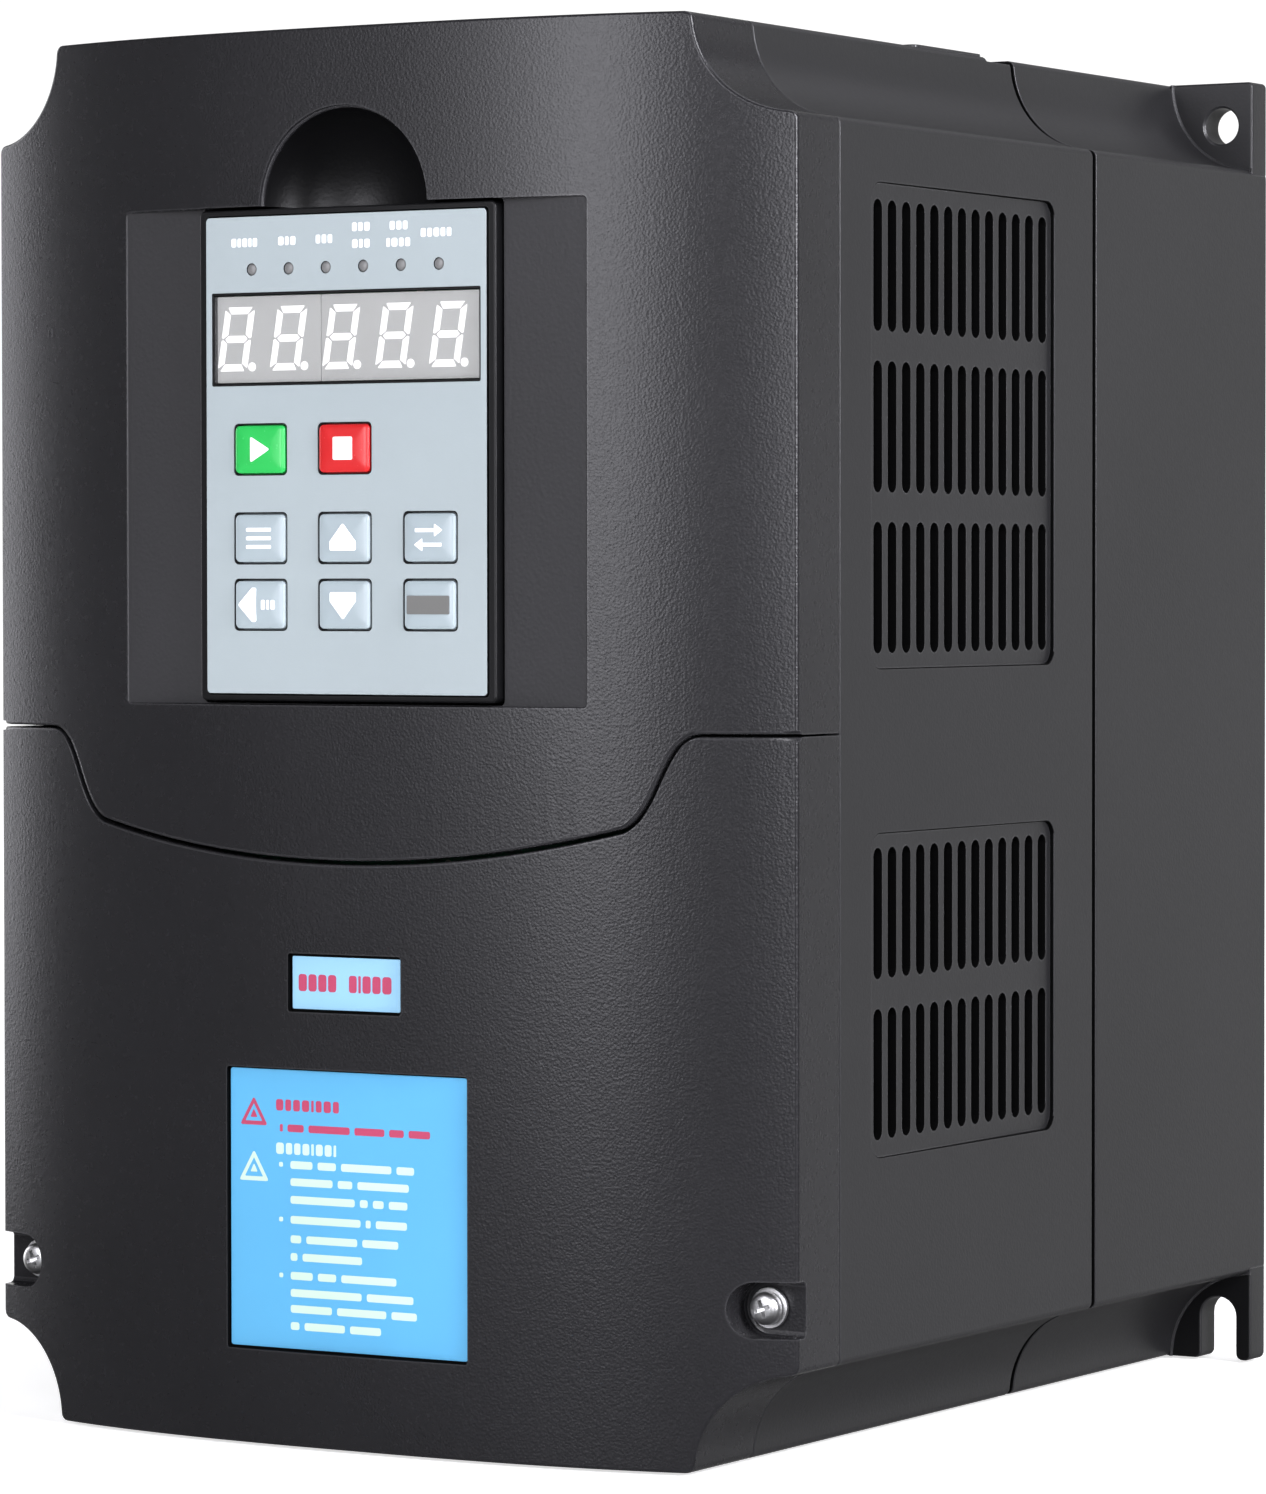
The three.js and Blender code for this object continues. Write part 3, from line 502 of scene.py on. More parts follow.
def case_outline(inset, flat_steps=1):
    """The casing seen from the front, less an inset: a rectangle with hollow quarter-round corners."""
    round_radius = max(CORNER - inset, 0.15)
    reach = COVE + inset + round_radius
    rise = inset + round_radius
    run = math.sqrt(reach**2 - rise**2)
    lean = math.degrees(math.asin(rise / reach))
    # One corner, drawn for the casing's lower right and then mirrored for the others.
    quarter = arc(-run, rise, round_radius, -90, -lean, 4)
    quarter += arc(0, 0, COVE + inset, 180 - lean, 90 + lean, 20)[1:-1]
    quarter += arc(-rise, run, round_radius, -90 + lean, 0, 4)
    lower_right = [(HALF + x, z) for x, z in quarter]
    upper_right = [(x, HEIGHT - z) for x, z in reversed(lower_right)]
    upper_left = mirrored(upper_right)
    lower_left = mirrored(lower_right)
    (right, top), left = upper_right[-1], upper_left[0][0]
    flats = [(right + (left - right) * (i / flat_steps), top) for i in range(1, flat_steps)]
    bottom = [(x, HEIGHT - z) for x, z in reversed(flats)]
    return lower_right + upper_right + flats + upper_left + lower_left + bottom


def crown(x):
    return DEPTH - (DEPTH - EDGE_DEPTH) * abs(x / HALF) ** CROWN_POWER


def crowned_solid(name, back, inset, edge, back_edge):
    """The front of the casing as one solid, its crowned face met by the sides with a round edge."""
    flat_steps = 64
    loops = []
    for turn in quarter_turns(2):
        extra = back_edge * (1 - math.sin(turn))
        level = back + back_edge * (1 - math.cos(turn))
        loops.append(at_level(case_outline(inset + extra, flat_steps), level))
    for turn in quarter_turns(6):
        extra = edge * (1 - math.cos(turn))
        drop = edge * (1 - math.sin(turn))
        outline = case_outline(inset + extra, flat_steps)
        loops.append([(x, crown(x) - inset - drop, z) for x, z in outline])
    count = len(loops[0])
    points = [p for loop in loops for p in loop]
    faces = [tuple(range(count))]
    for i in range(len(loops) - 1):
        for j in range(count):
            k = (j + 1) % count
            a, b = i * count, (i + 1) * count
            faces.append((a + j, a + k, b + k, b + j))
    # The crowned face runs in strips from each point of the upper half to the one below it.
    start = (len(loops) - 1) * count
    side = count // 2 - (flat_steps - 1)
    corner = side // 2
    upper = list(range(corner, 3 * corner + flat_steps - 1))
    lower = list(range(corner - 1, -1, -1)) + list(range(count - 1, count - flat_steps - corner, -1))
    for a, b, c, d in zip(upper, upper[1:], lower[1:], lower):
        faces.append((start + a, start + b, start + c, start + d))
    return new_object(name, points, faces)


def bowl_height(x):
    return BOWL_Z + BOWL_RADIUS - math.sqrt(BOWL_RADIUS**2 - x**2)


def split_line():
    """The line between the two front covers, from left to right, as (x, z) points."""
    low = bowl_height(BOWL_HALF)
    ends = [
        Vector((BOWL_HALF, low)),
        Vector((BOWL_HALF + 6.5, low + 3)),
        Vector((SHOULDER_HALF - 3, SHOULDER_Z - 0.5)),
        Vector((SHOULDER_HALF + 3.5, SHOULDER_Z)),
    ]
    right = []
    steps = 20
    for i in range(1, steps + 1):
        t = i / steps
        weights = ((1 - t) ** 3, 3 * t * (1 - t) ** 2, 3 * t * t * (1 - t), t**3)
        point = sum((w * p for w, p in zip(weights, ends)), Vector((0, 0)))
        right.append((point.x, point.y))
    right += [(SHOULDER_HALF + 3.5 + 4.5 * i, SHOULDER_Z) for i in range(1, 6)]
    bowl = [(x, bowl_height(x)) for x in (BOWL_HALF * i / 24 for i in range(-24, 25))]
    return mirrored(right) + bowl + right


def split_ribbon():
    """A thin curved wall that parts the covers and rounds the lips on both sides of the gap."""
    line = split_line()
    loops = []
    for i, (x, z) in enumerate(line):
        before, after = line[max(i - 1, 0)], line[min(i + 1, len(line) - 1)]
        along = Vector((after[0] - before[0], after[1] - before[1])).normalized()
        across = Vector((-along.y, along.x))
        thin = 0.32 if abs(x) < SHOULDER_HALF else 0.2
        top = crown(x) if abs(x) < HALF else EDGE_DEPTH - 3
        section = [(thin, COVER_BACK - 4), (thin, top - 0.55), (thin + 0.16, top - 0.16)]
        section += [(thin + 0.6, top + 0.04), (thin + 0.9, top + 6)]
        loop = section + [(-w, d) for w, d in reversed(section)]
        loops.append([(x + across.x * w, d, z + across.y * w) for w, d in loop])
    return loft("ribbon", loops)


def above_split():
    line = split_line()
    far = HALF + 30
    outline = line + [(far, HEIGHT + 30), (-far, HEIGHT + 30)]
    outline[0] = (-far, SHOULDER_Z)
    outline[len(line) - 1] = (far, SHOULDER_Z)
    return loft("above", [at_level(outline, level) for level in (COVER_BACK - 10, DEPTH + 10)])


def both_sides(make):
    """The same shape made for the left and the right, from a function of the side, -1 or 1."""
    return merge("both", [make(-1), make(1)])


def span(side, near, far):
    """An X extent on the given side, in rising order."""
    return tuple(sorted((side * near, side * far)))


# ---------------------------------------------------------------- front covers


def in_scoop(normal, depth, x, z):
    """Picks the bowl of the finger scoop."""
    near = math.hypot(x, z - KEYPAD_HIGH) < SCOOP_RADIUS - 0.05
    return z > KEYPAD_HIGH and depth < DEPTH - 1.2 and near


def in_pocket(normal, depth, x, z):
    """Picks the floor of the pocket around the keypad."""
    flat = normal.y < -0.9 and abs(depth - POCKET_FLOOR) < 0.1
    return flat and abs(x) < POCKET_HALF and POCKET_LOW < z < POCKET_HIGH


def in_label_bed(normal, depth, x, z):
    """Picks the floors and walls of the beds the two labels lie in."""
    low = abs(x) < 25 and 16.5 < z < 66.2
    return depth > 196 and (low or abs(x) < 11.8 and 76 < z < 86.4) and not (normal.y < -0.6 and depth > 197)


def scoop_profile():
    """The scoop's bowl and the small lip round its mouth, as (radius, depth) pairs."""
    floor = DEPTH - 0.5
    profile = [(0, floor - SCOOP_DEEP)]
    for i in range(1, 24):
        turn = math.pi / 2 * i / 24
        profile.append((SCOOP_RADIUS * math.sin(turn), floor - SCOOP_DEEP * math.cos(turn)))
    for turn in quarter_turns(6):
        level = DEPTH - 0.9 - SCOOP_LIP + SCOOP_LIP * (0.3 + math.sin(turn))
        profile.append((SCOOP_RADIUS + SCOOP_LIP * (1 - math.cos(turn)), level))
    return profile + [(SCOOP_RADIUS + SCOOP_LIP + 0.6, DEPTH + 6), (0, DEPTH + 6)]


def scoop_wall():
    """The round back of the scoop's own wall, which stands clear of the bowl."""
    bowl = []
    wall_radius, wall_deep = SCOOP_RADIUS + 2.2, SCOOP_DEEP + 2.2
    for i in range(17):
        turn = math.pi * i / 16
        bowl.append((wall_radius * math.sin(turn), DEPTH - 0.5 - wall_deep * math.cos(turn)))
    bowl[0] = (0, bowl[0][1])
    bowl[-1] = (0, bowl[-1][1])
    return lathe("bowl", bowl, 0, KEYPAD_HIGH)


def screw_recess(side):
    """The round hollow about a cover screw, open to the casing's side."""
    loops = []
    for inset, rise in ((1.0, 0), (0.3, 0.3), (0.0, 1.0), (0.0, DEPTH + 5 - SCREW_FLOOR)):
        radius = SCREW_RECESS - inset
        curve = arc(SCREW_X, SCREW_Z, radius, 90, 270, 24)
        curve += [(HALF + 6, SCREW_Z - radius), (HALF + 6, SCREW_Z + radius)]
        loops.append([(side * x, SCREW_FLOOR + rise, z) for x, z in curve])
    return loft("recess", loops)


def make_upper_cover(outer, hollow, ribbon, region):
    wide, low, high = POCKET_HALF + WALL, POCKET_LOW - WALL, POCKET_HIGH + WALL
    combine(hollow, block("backing", -wide, wide, POCKET_FLOOR - WALL, DEPTH + 4, low, high))
    combine(hollow, block("tray", -33.5, 33.5, 180, 197, 127.4, 218.8, edge=0.1))
    combine(hollow, scoop_wall())
    upper = combine(outer, hollow)
    combine(upper, ribbon)
    combine(upper, region, "INTERSECT")
    pocket = (-POCKET_HALF, POCKET_HALF, POCKET_FLOOR, DEPTH + 8, POCKET_LOW, POCKET_HIGH)
    combine(upper, block("pocket", *pocket, corner=0.8))
    gap = 0.45
    half, low, high = KEYPAD_HALF + gap, KEYPAD_LOW - gap, KEYPAD_HIGH + gap
    combine(upper, block("well", -half, half, 182, DEPTH + 8, low, high, corner=0.9, edge=0.2))
    combine(upper, block("plug_hole", -13, 13, 175, 186, 140, 150))
    scoop = lathe("scoop", scoop_profile(), 0, KEYPAD_HIGH, steps=96)
    combine(scoop, block("keep", -40, 40, 150, 230, KEYPAD_HIGH + 0.2, HEIGHT), "INTERSECT")
    combine(upper, scoop)
    finish_piece(upper, "upper_cover_shell", CASING, "casing", "housing", "upper_cover")
    # Painted shade: the scoop's bowl gets the darker copy of the casing plastic.
    dress_faces(upper, PAINTED_SHADE_HOLLOW_PLASTIC, in_scoop)
    # Painted light: the pocket's floor gets the lighter copy of the casing plastic.
    dress_faces(upper, PAINTED_LIGHT_POCKET_PLASTIC, in_pocket)
    tab = (COVER_BACK + 0.1, COVER_BACK + 2.5, 95, 128)
    tabs = both_sides(lambda side: block("tab", *span(side, 54, 66), *tab, corner=2))
    finish_piece(tabs, "upper_cover_tabs", CASING, "casing", "housing")


def make_terminal_cover(outer, hollow, ribbon, region):
    boss = (COVER_BACK - 6, DEPTH, SCREW_Z - 6.4, SCREW_Z + 6.4)
    combine(hollow, both_sides(lambda side: block("boss", *span(side, 69.5, 90), *boss, corner=1.5)))
    lower = combine(outer, hollow)
    combine(lower, ribbon)
    combine(lower, region)
    combine(lower, both_sides(screw_recess))
    combine(lower, both_sides(lambda side: rod("bore", 2.3, 160, 190, side * SCREW_X, SCREW_Z, steps=24)))
    combine(lower, block("big_bed", -24.95, 24.95, 196.5, DEPTH + 3, 16.55, 66.1, edge=0.05))
    combine(lower, block("small_bed", -11.7, 11.7, 196.8, DEPTH + 3, 76.1, 86.3, edge=0.05))
    finish_piece(lower, "terminal_cover_shell", CASING, "casing", "terminal_cover", "terminal_cover")
    # Painted shade: the label beds' floors and walls, seen as thin gaps round the labels, get the near-black
    # copy.
    dress_faces(lower, PAINTED_SHADE_PLASTIC, in_label_bed)


def make_covers():
    outer = crowned_solid("outer", COVER_BACK - 0.25, 0.0, 0.6, 0.2)
    hollow = crowned_solid("hollow", COVER_BACK - 2, WALL, 0.8, 0.1)
    shapes = [outer, hollow, split_ribbon(), above_split()]
    twins = [duplicate(shape, shape.name + "_twin") for shape in shapes]
    make_upper_cover(*shapes)
    make_terminal_cover(*twins)


# ---------------------------------------------------------------- housings


def ring_loops(back, front, edge):
    return [at_level(case_outline(inset), level) for inset, level in edge_steps(back, front, edge)]


def capsule(width, height):
    half, straight = width / 2, (height - width) / 2
    return arc(0, straight, half, 0, 180, 8) + arc(0, -straight, half, 180, 360, 8)


def vent_share(depth):
    """How far back a depth is in the sunk vent panels, from 0 at their front to 1."""
    return (VENT_FRONT - depth) / (VENT_FRONT - VENT_REAR)


def side_slot(side, z, depth):
    """The cutter of one side slot, with a small flare that rounds its mouth."""
    surface = HALF - VENT_SINK * vent_share(depth)
    loops = []
    flare = ((surface - 0.25, 0), (surface - 0.08, 0.06), (surface + 0.5, 0.5))
    for level, grow in ((HALF - WALL - 1.5, 0), *flare):
        outline = capsule(SLOT_WIDTH + 2 * grow, SLOT_HEIGHT + 2 * grow)
        loops.append([(side * level, depth + d, z + h) for d, h in outline])
    return loft("slot", loops)


def vent_panel(side, low, high):
    """The cutter of one shallow panel, which sinks deeper towards the back."""
    loops = []
    for grow, deepest in ((0, 2), (0.02, 0.14), (0.07, 0.06), (0.18, 0.01), (0.5, -0.15)):
        loop = []
        near, far = VENT_REAR - grow, VENT_FRONT + grow
        for d, z in rounded_rectangle(near, far, low - grow, high + grow, 3 + grow, 6):
            sink = 0.1 + (VENT_SINK - 0.1) * min(max(vent_share(d), 0), 1)
            loop.append((side * (HALF - min(sink, deepest)), d, z))
        loops.append(loop)
    return loft("panel", loops)


def in_vent_wall(normal, depth, x, z):
    """Picks the walls of the slots, of their sunk panels and of the joint with the rear housing."""
    if abs(normal.y) > 0.9 and depth < MID_BACK + 0.5:
        return True
    if abs(x) < HALF - WALL or abs(x) > HALF - 0.005 or not VENT_REAR - 1 < depth < VENT_FRONT + 1:
        return False
    inside = any(low - 1 < z < high + 1 for low, high in VENT_PANELS)
    return inside and (abs(normal.x) < 0.5 or abs(normal.z) > 0.15)


def make_mid_housing():
    loops = ring_loops(MID_BACK + SEAM, MID_FRONT, 0.3)
    loops += [at_level(case_outline(WALL), level) for level in (MID_FRONT, MID_BACK + SEAM)]
    shell = loft("mid", loops, ring=True)
    combine(shell, block("roof", -60, 60, 117, 153, 1.2, 4.7, corner=3, along="z"), "UNION")
    pad = block("pad", -65.2, 65.2, 84, 110, HEIGHT - 1, HEIGHT + 0.4, corner=1.5, edge=0.25, along="z")
    combine(shell, pad, "UNION")
    combine(shell, merge("panels", [vent_panel(side, *panel) for side, _ in SIDES for panel in VENT_PANELS]))
    places = [(z, SLOT_FIRST - SLOT_PITCH * i) for z in SLOT_ROWS for i in range(SLOT_COUNT)]
    combine(shell, merge("slots", [side_slot(side, *place) for side, _ in SIDES for place in places]))
    combine(shell, block("recess", -58, 58, 119, 151, -2, 2.2, corner=3, edge=0.2, along="z"))
    for x in ENTRIES.values():
        combine(shell, rod("entry", 11, -1, 8, x, ENTRY_DEPTH, along="z"))
    notch = (MID_BACK - 2, 84, HEIGHT - 0.9, HEIGHT + 2)
    combine(shell, both_sides(
        lambda side: block("notch", *span(side, 58, 72), *notch, corner=1.2, edge=0.2, along="z")
    ))
    finish_piece(shell, "mid_housing_shell", CASING_SIDE, "casing", "housing", "mid_housing")
    # Painted shade: the slot walls, the sunk panels' walls and the joint face get the near-black copy.
    dress_faces(shell, PAINTED_SHADE_PLASTIC, in_vent_wall)
    ribs = [block("deck", -HALF + 2.3, HALF - 2.3, 146, 148, 60, HEIGHT - 20, corner=1)]
    ribs.append(block("deck_top", -62, 62, 146, 148, HEIGHT - 21, HEIGHT - 2.3, corner=1))
    for side, _ in SIDES:
        ribs.append(block("ledge", *span(side, 70, 80.7), 86, 91.6, 30, 216, corner=0.6))
        ribs.append(block("boss", *span(side, 71.4, 80.7), 140, 169.8, 22.5, 33.5, corner=1.2))
        posts = ((TAB_SCREW_X, TAB_SCREW_Z, 4, 170), (49, 70, 3, 154.7), (49, 197, 3, 154.7))
        for x, z, radius, front in posts:
            profile = [(0, 147), (radius, 147), (radius, front - 0.4), (radius - 0.4, front), (0, front)]
            ribs.append(lathe("post", profile, side * x, z, steps=28))
    finish_piece(merge("ribs", ribs), "mid_housing_deck", CASING_SIDE, "casing", "housing")


def in_lug_face(normal, depth, x, z):
    """Picks the front faces of the two lower lugs."""
    return normal.y < -0.9 and abs(depth - EAR_THICK) < 0.1 and z < 18 and abs(x) > 64


def cove_bead(side, corner, end):
    """A small fillet where a cove runs into an ear or a lug."""
    radius = 0.4
    loops = []
    for i in range(25):
        turn = math.radians(180 + (end - 180) * i / 24)
        loop = []
        for j in range(8):
            spin = math.pi * j / 4
            x, z = on_circle(HALF, corner, COVE + radius * math.cos(spin), turn)
            loop.append((side * x, EAR_THICK + radius * math.sin(spin), z))
        loops.append(loop)
    return loft("bead", loops)


def make_ear(side):
    return block(
        "ear", *span(side, EAR_NEAR, HALF), 0, EAR_THICK, HEIGHT - COVE - 1.5, HEIGHT, corner=1.0, edge=0.5
    )


def make_lug(side):
    """A lug with an open-ended slot, its corners rounded."""
    right, left = LUG_X + LUG_RADIUS, LUG_X - LUG_RADIUS
    turn, top = 1.3, LUG_TOP - LUG_RADIUS
    outline = [(EAR_NEAR, COVE + 1.5), (EAR_NEAR, 0)]
    outline += arc(left - turn, turn, turn, -90, 0, 5)
    outline += arc(LUG_X, top, LUG_RADIUS, 180, 0, 20)
    outline += arc(right + turn, turn, turn, 180, 270, 5)
    outline += arc(HALF - turn, turn, turn, -90, 0, 5)
    outline += arc(HALF - 0.6, COVE + 0.9, 0.6, 0, 90, 3)
    lug = loft("lug", [[(side * x, d, z) for x, z in outline] for d in (0, EAR_THICK)])
    return bevel(lug, 0.45, 3, 60)


def make_ear_hole(side):
    """The cutter of an ear's hole, with eased edges."""
    profile = [(0, -2)]
    steps = ((1.2, -2), (0.5, 0), (0, 0.5), (0, EAR_THICK - 0.4), (0.4, EAR_THICK), (1, EAR_THICK + 2))
    for grow, level in steps:
        profile.append((EAR_HOLE + grow, level))
    return lathe("hole", profile + [(0, EAR_THICK + 2)], side * EAR_X, EAR_Z, steps=40)


def make_rear_housing():
    loops = ring_loops(0, REAR_FRONT - SEAM, 0.35)
    loops += [at_level(case_outline(WALL), level) for level in (REAR_FRONT - SEAM, 3.0)]
    shell = loft("rear", loops)
    for side, _ in SIDES:
        combine(shell, make_ear(side), "UNION")
        combine(shell, make_lug(side), "UNION")
        combine(shell, make_ear_hole(side))
    combine(shell, block("outlet", -61.8, 61.8, 4.2, 64.8, 240, HEIGHT + 3, corner=1.5, edge=0.2, along="z"))
    inlet = (8, 62, -2, WALL + 2)
    combine(shell, merge("inlets", [
        block("inlet", x - 1.7, x + 1.7, *inlet, corner=1.6, edge=0.1, along="z") for x in range(-57, 58, 6)
    ]))
    finish_piece(shell, "rear_housing_shell", CASING_SIDE, "casing", "housing", "rear_housing")
    # Painted shade: the faces at the joint with the mid housing get the near-black copy.
    dress_faces(shell, PAINTED_SHADE_PLASTIC, lambda normal, depth, x, z: abs(normal.y) > 0.9 and depth > REAR_FRONT - 1)
    # Painted shade: the lower lugs' front faces get the darker copy of the casing plastic.
    dress_faces(shell, PAINTED_SHADE_HOLLOW_PLASTIC, in_lug_face)
    beads = [cove_bead(side, *end) for side, _ in SIDES for end in ((HEIGHT, 270), (0, 90))]
    finish_piece(merge("beads", beads), "rear_housing_fillets", CASING_SIDE, "casing", "housing")
    # Painted shade: the tongue inside the joint between the housings is made in the near-black copy, so the
    # seam reads dark.
    lip = []
    for inset, level in ((1.3, -1), (1.3, 1), (WALL + 0.3, 1), (WALL + 0.3, -1)):
        lip.append(at_level(case_outline(inset), MID_BACK + level))
    finish_piece(loft("tongue", lip, ring=True), "housing_joint_tongue", PAINTED_SHADE_PLASTIC, "casing", "housing")

# ---------------------------------------------------------------- small shapes


def plate(name, outline, back, front):
    """A flat shape with the given (x, z) outline."""
    return loft(name, [at_level(outline, level) for level in (back, front)])


def bar(x0, x1, z0, z1, back, front, corner=0.12):
    return plate("bar", rounded_rectangle(x0, x1, z0, z1, corner, 3), back, front)


def rounded_polygon(corners, radius, steps=4):
    """A polygon with its corners rounded; the corners run anticlockwise."""
    out = []
    count = len(corners)
    for i in range(count):
        here = Vector(corners[i])
        before = (Vector(corners[i - 1]) - here).normalized()
        after = (Vector(corners[(i + 1) % count]) - here).normalized()
        reach = radius / math.tan(before.angle(after) / 2)
        first, last = here + before * reach, here + after * reach
        for k in range(steps + 1):
            t = k / steps
            point = first.lerp(here, t).lerp(here.lerp(last, t), t)
            out.append((point.x, point.y))
    return out


def word_bars(x, z, height, widths, back, front, gap=0.45):
    """A row of short printed bars in place of a word, starting at x and centred on z."""
    bars = []
    for width in widths:
        bars.append(bar(x, x + width, z - height / 2, z + height / 2, back, front, min(width, height) * 0.3))
        x += width + gap
    return bars


# ---------------------------------------------------------------- keypad


def lamp_x(i):
    return (i - 2.5) * LAMP_PITCH


KEYS = (
    ("key_run", -1, 0, KEY_GREEN, "key_green"),
    ("key_stop", 0, 0, KEY_RED, "key_red"),
    ("key_set", -1, 1, KEY_GREY, "key_grey"),
    ("key_up", 0, 1, KEY_GREY, "key_grey"),
    ("key_mode", 1, 1, KEY_GREY, "key_grey"),
    ("key_shift", -1, 2, KEY_GREY, "key_grey"),
    ("key_down", 0, 2, KEY_GREY, "key_grey"),
    ("key_enter", 1, 2, KEY_GREY, "key_grey"),
)


def cut_face_openings(face, margin, window_margin):
    """Cuts the openings for the keys, the display and the lamps through a layer of the keypad's face."""
    back, front = 190, 200
    half, low, high = WINDOW_HALF + window_margin, WINDOW_LOW - window_margin, WINDOW_HIGH + window_margin
    cutters = [plate("window", rounded_rectangle(-half, half, low, high, 0.3, 3), back, front)]
    for i in range(6):
        cutters.append(rod("lamp", LAMP_RADIUS + 0.05, back, front, lamp_x(i), LAMP_Z, steps=24))
    for _, column, row, _, _ in KEYS:
        x, z = column * KEY_PITCH, KEY_ROWS[row]
        w, h = KEY_WIDTH / 2 + margin, KEY_HEIGHT / 2 + margin
        cutters.append(plate("key", rounded_rectangle(x - w, x + w, z - h, z + h, 0.9, 5), back, front))
    combine(face, merge("openings", cutters))


def make_keypad_case():
    box = (-KEYPAD_HALF, KEYPAD_HALF, 182.6, KEYPAD_FRONT, KEYPAD_LOW, KEYPAD_HIGH)
    case = block("frame", *box, corner=1.1, edge=0.4)
    combine(case, block("cavity", -29.3, 29.3, 184.2, 200, 131.2, 215, corner=0.8, edge=0.1))
    combine(case, block("socket_hole", -12.3, 12.3, 180, 186, 140.7, 149.3, corner=0.4, edge=0.1))
    finish_piece(case, "keypad_frame_case", BLACK, "keypad_black", "keypad", "keypad_frame")
    film_back = FACE_FRONT - 0.18
    ends = (FACE_LOW, FACE_HIGH)
    # Painted shade: the black backing's openings are smaller than the film's, so a thin black ring, painted
    # shade for the gaps, shows round each key and the display window.
    backing = block("backing", -FACE_HALF, FACE_HALF, 195.4, film_back, *ends, corner=0.7, edge=0.08)
    cut_face_openings(backing, 0.22, 0.22)
    finish_piece(backing, "keypad_face_backing", BLACK, "keypad_black", "keypad")
    film = block("film", -FACE_HALF, FACE_HALF, film_back, FACE_FRONT, *ends, corner=0.7, edge=0.06)
    cut_face_openings(film, 0.42, 0.6)
    finish_piece(film, "keypad_face_film", FACEPLATE, "faceplate", "keypad", "keypad_faceplate")


# A key cap's section as (inset, depth) pairs, from its straight wall to its slightly crowned top.
KEY_SECTION = (
    (0.0, 194.2), (0.0, 197.25), (0.06, 197.45), (0.22, 197.62),
    (0.5, 197.74), (1.0, 197.83), (1.9, 197.92), (3.1, 197.98),
)


def make_key(name, x, z, material, slot):
    w, h = KEY_WIDTH / 2, KEY_HEIGHT / 2
    loops = []
    for inset, level in KEY_SECTION:
        corner = max(0.85 - inset * 0.2, 0.3)
        outline = rounded_rectangle(x - w + inset, x + w - inset, z - h + inset, z + h - inset, corner, 6)
        loops.append(at_level(outline, level))
    cap = loft("cap", loops)
    w, h = w + 0.75, h + 0.75
    flange = block("flange", x - w, x + w, 193.9, 195.1, z - h, z + h, corner=0.9, edge=0.1)
    combine(cap, flange, "UNION")
    stem = block("stem", x - 1.5, x + 1.5, 192.85, 194.4, z - 1.5, z + 1.5, corner=0.3, edge=0.1)
    combine(cap, stem, "UNION")
    finish_piece(cap, name + "_cap", material, slot, name, name)


def key_symbol(name, x, z):
    """The printed sign on a key, built about the key's middle."""
    layer = (197.7, 198.03)

    def shape(corners, radius):
        return plate("sign", rounded_polygon([(x + a, z + b) for a, b in corners], radius), *layer)

    def stroke(left, right, level, thin, corner):
        return bar(x + left, x + right, z + level - thin, z + level + thin, *layer, corner)

    house = [(-2.7, -2.2), (2.7, -2.2), (2.7, -0.6), (0, 2.6), (-2.7, -0.6)]
    if name == "key_up":
        return [shape(house, 0.35)]
    if name == "key_down":
        return [shape([(-a, -b) for a, b in house], 0.35)]
    if name == "key_shift":
        arrow = shape([(-0.6, -3.0), (-0.6, 3.0), (-1.4, 3.0), (-4.4, 0), (-1.4, -3.0)], 0.4)
        return [arrow] + word_bars(x + 0.5, z, 1.7, (0.8, 0.5, 0.8), *layer, 0.35)
    if name == "key_run":
        return [shape([(-1.7, -2.3), (2.4, 0), (-1.7, 2.3)], 0.3)]
    if name == "key_stop":
        return [stroke(-2.0, 2.0, 0, 2.0, 0.3)]
    if name == "key_set":
        return [stroke(-2.6, 2.6, level, 0.33, 0.2) for level in (1.5, 0, -1.5)]
    if name == "key_mode":
        pair = []
        for side, _ in SIDES:
            level = 1.25 * side
            tip = [(side * 2.9, level), (side * 1.2, level + 1.15), (side * 1.2, level - 1.15)]
            pair += [shape(tip[::side], 0.15), stroke(*span(side, 1.25, -2.7), level, 0.33, 0.15)]
        return pair
    return [stroke(-4.4, 4.2, 0, 1.6, 0.2)]


def make_keys():
    for name, column, row, material, slot in KEYS:
        x, z = column * KEY_PITCH, KEY_ROWS[row]
        make_key(name, x, z, material, slot)
        ink = PRINT_GREY if name == "key_enter" else PRINT_WHITE
        finish_piece(merge("signs", key_symbol(name, x, z)), name + "_sign", ink, "label", name)


def digit_segments(x, z):
    """The seven leaning bars and the point of one display digit."""
    back, front = 196.2, 196.36
    w, h, t = 3.1, 5.6, 1.25
    shapes = [
        [(-w + 0.55, h), (-w + t + 0.12, h - t), (w - t - 0.12, h - t), (w - 0.55, h)],
        [(-w + 0.55, -h), (w - 0.55, -h), (w - t - 0.12, -h + t), (-w + t + 0.12, -h + t)],
    ]
    middle = [(-w + 0.75, 0), (-w + t + 0.15, -t / 2), (w - t - 0.15, -t / 2)]
    shapes.append(middle + [(-a, -b) for a, b in middle])
    for side, _ in SIDES:
        for level in (-1, 1):
            post = [(w, 0.25), (w, h - 0.5), (w - t, h - t - 0.1), (w - t, t / 2 + 0.18), (w - 0.35, 0.12)]
            post = [(side * a, level * b) for a, b in post]
            shapes.append(post if side * level > 0 else post[::-1])
    pieces = []
    for shape in shapes:
        outline = [(x + a + b * DIGIT_LEAN, z + b) for a, b in shape]
        pieces.append(plate("segment", rounded_polygon(outline, 0.12, 2), back, front))
    point_x = x + w + 1.0 - h * DIGIT_LEAN * 0.85
    return pieces + [rod("point", 0.78, back, front, point_x, z - h + 0.72, steps=20)]


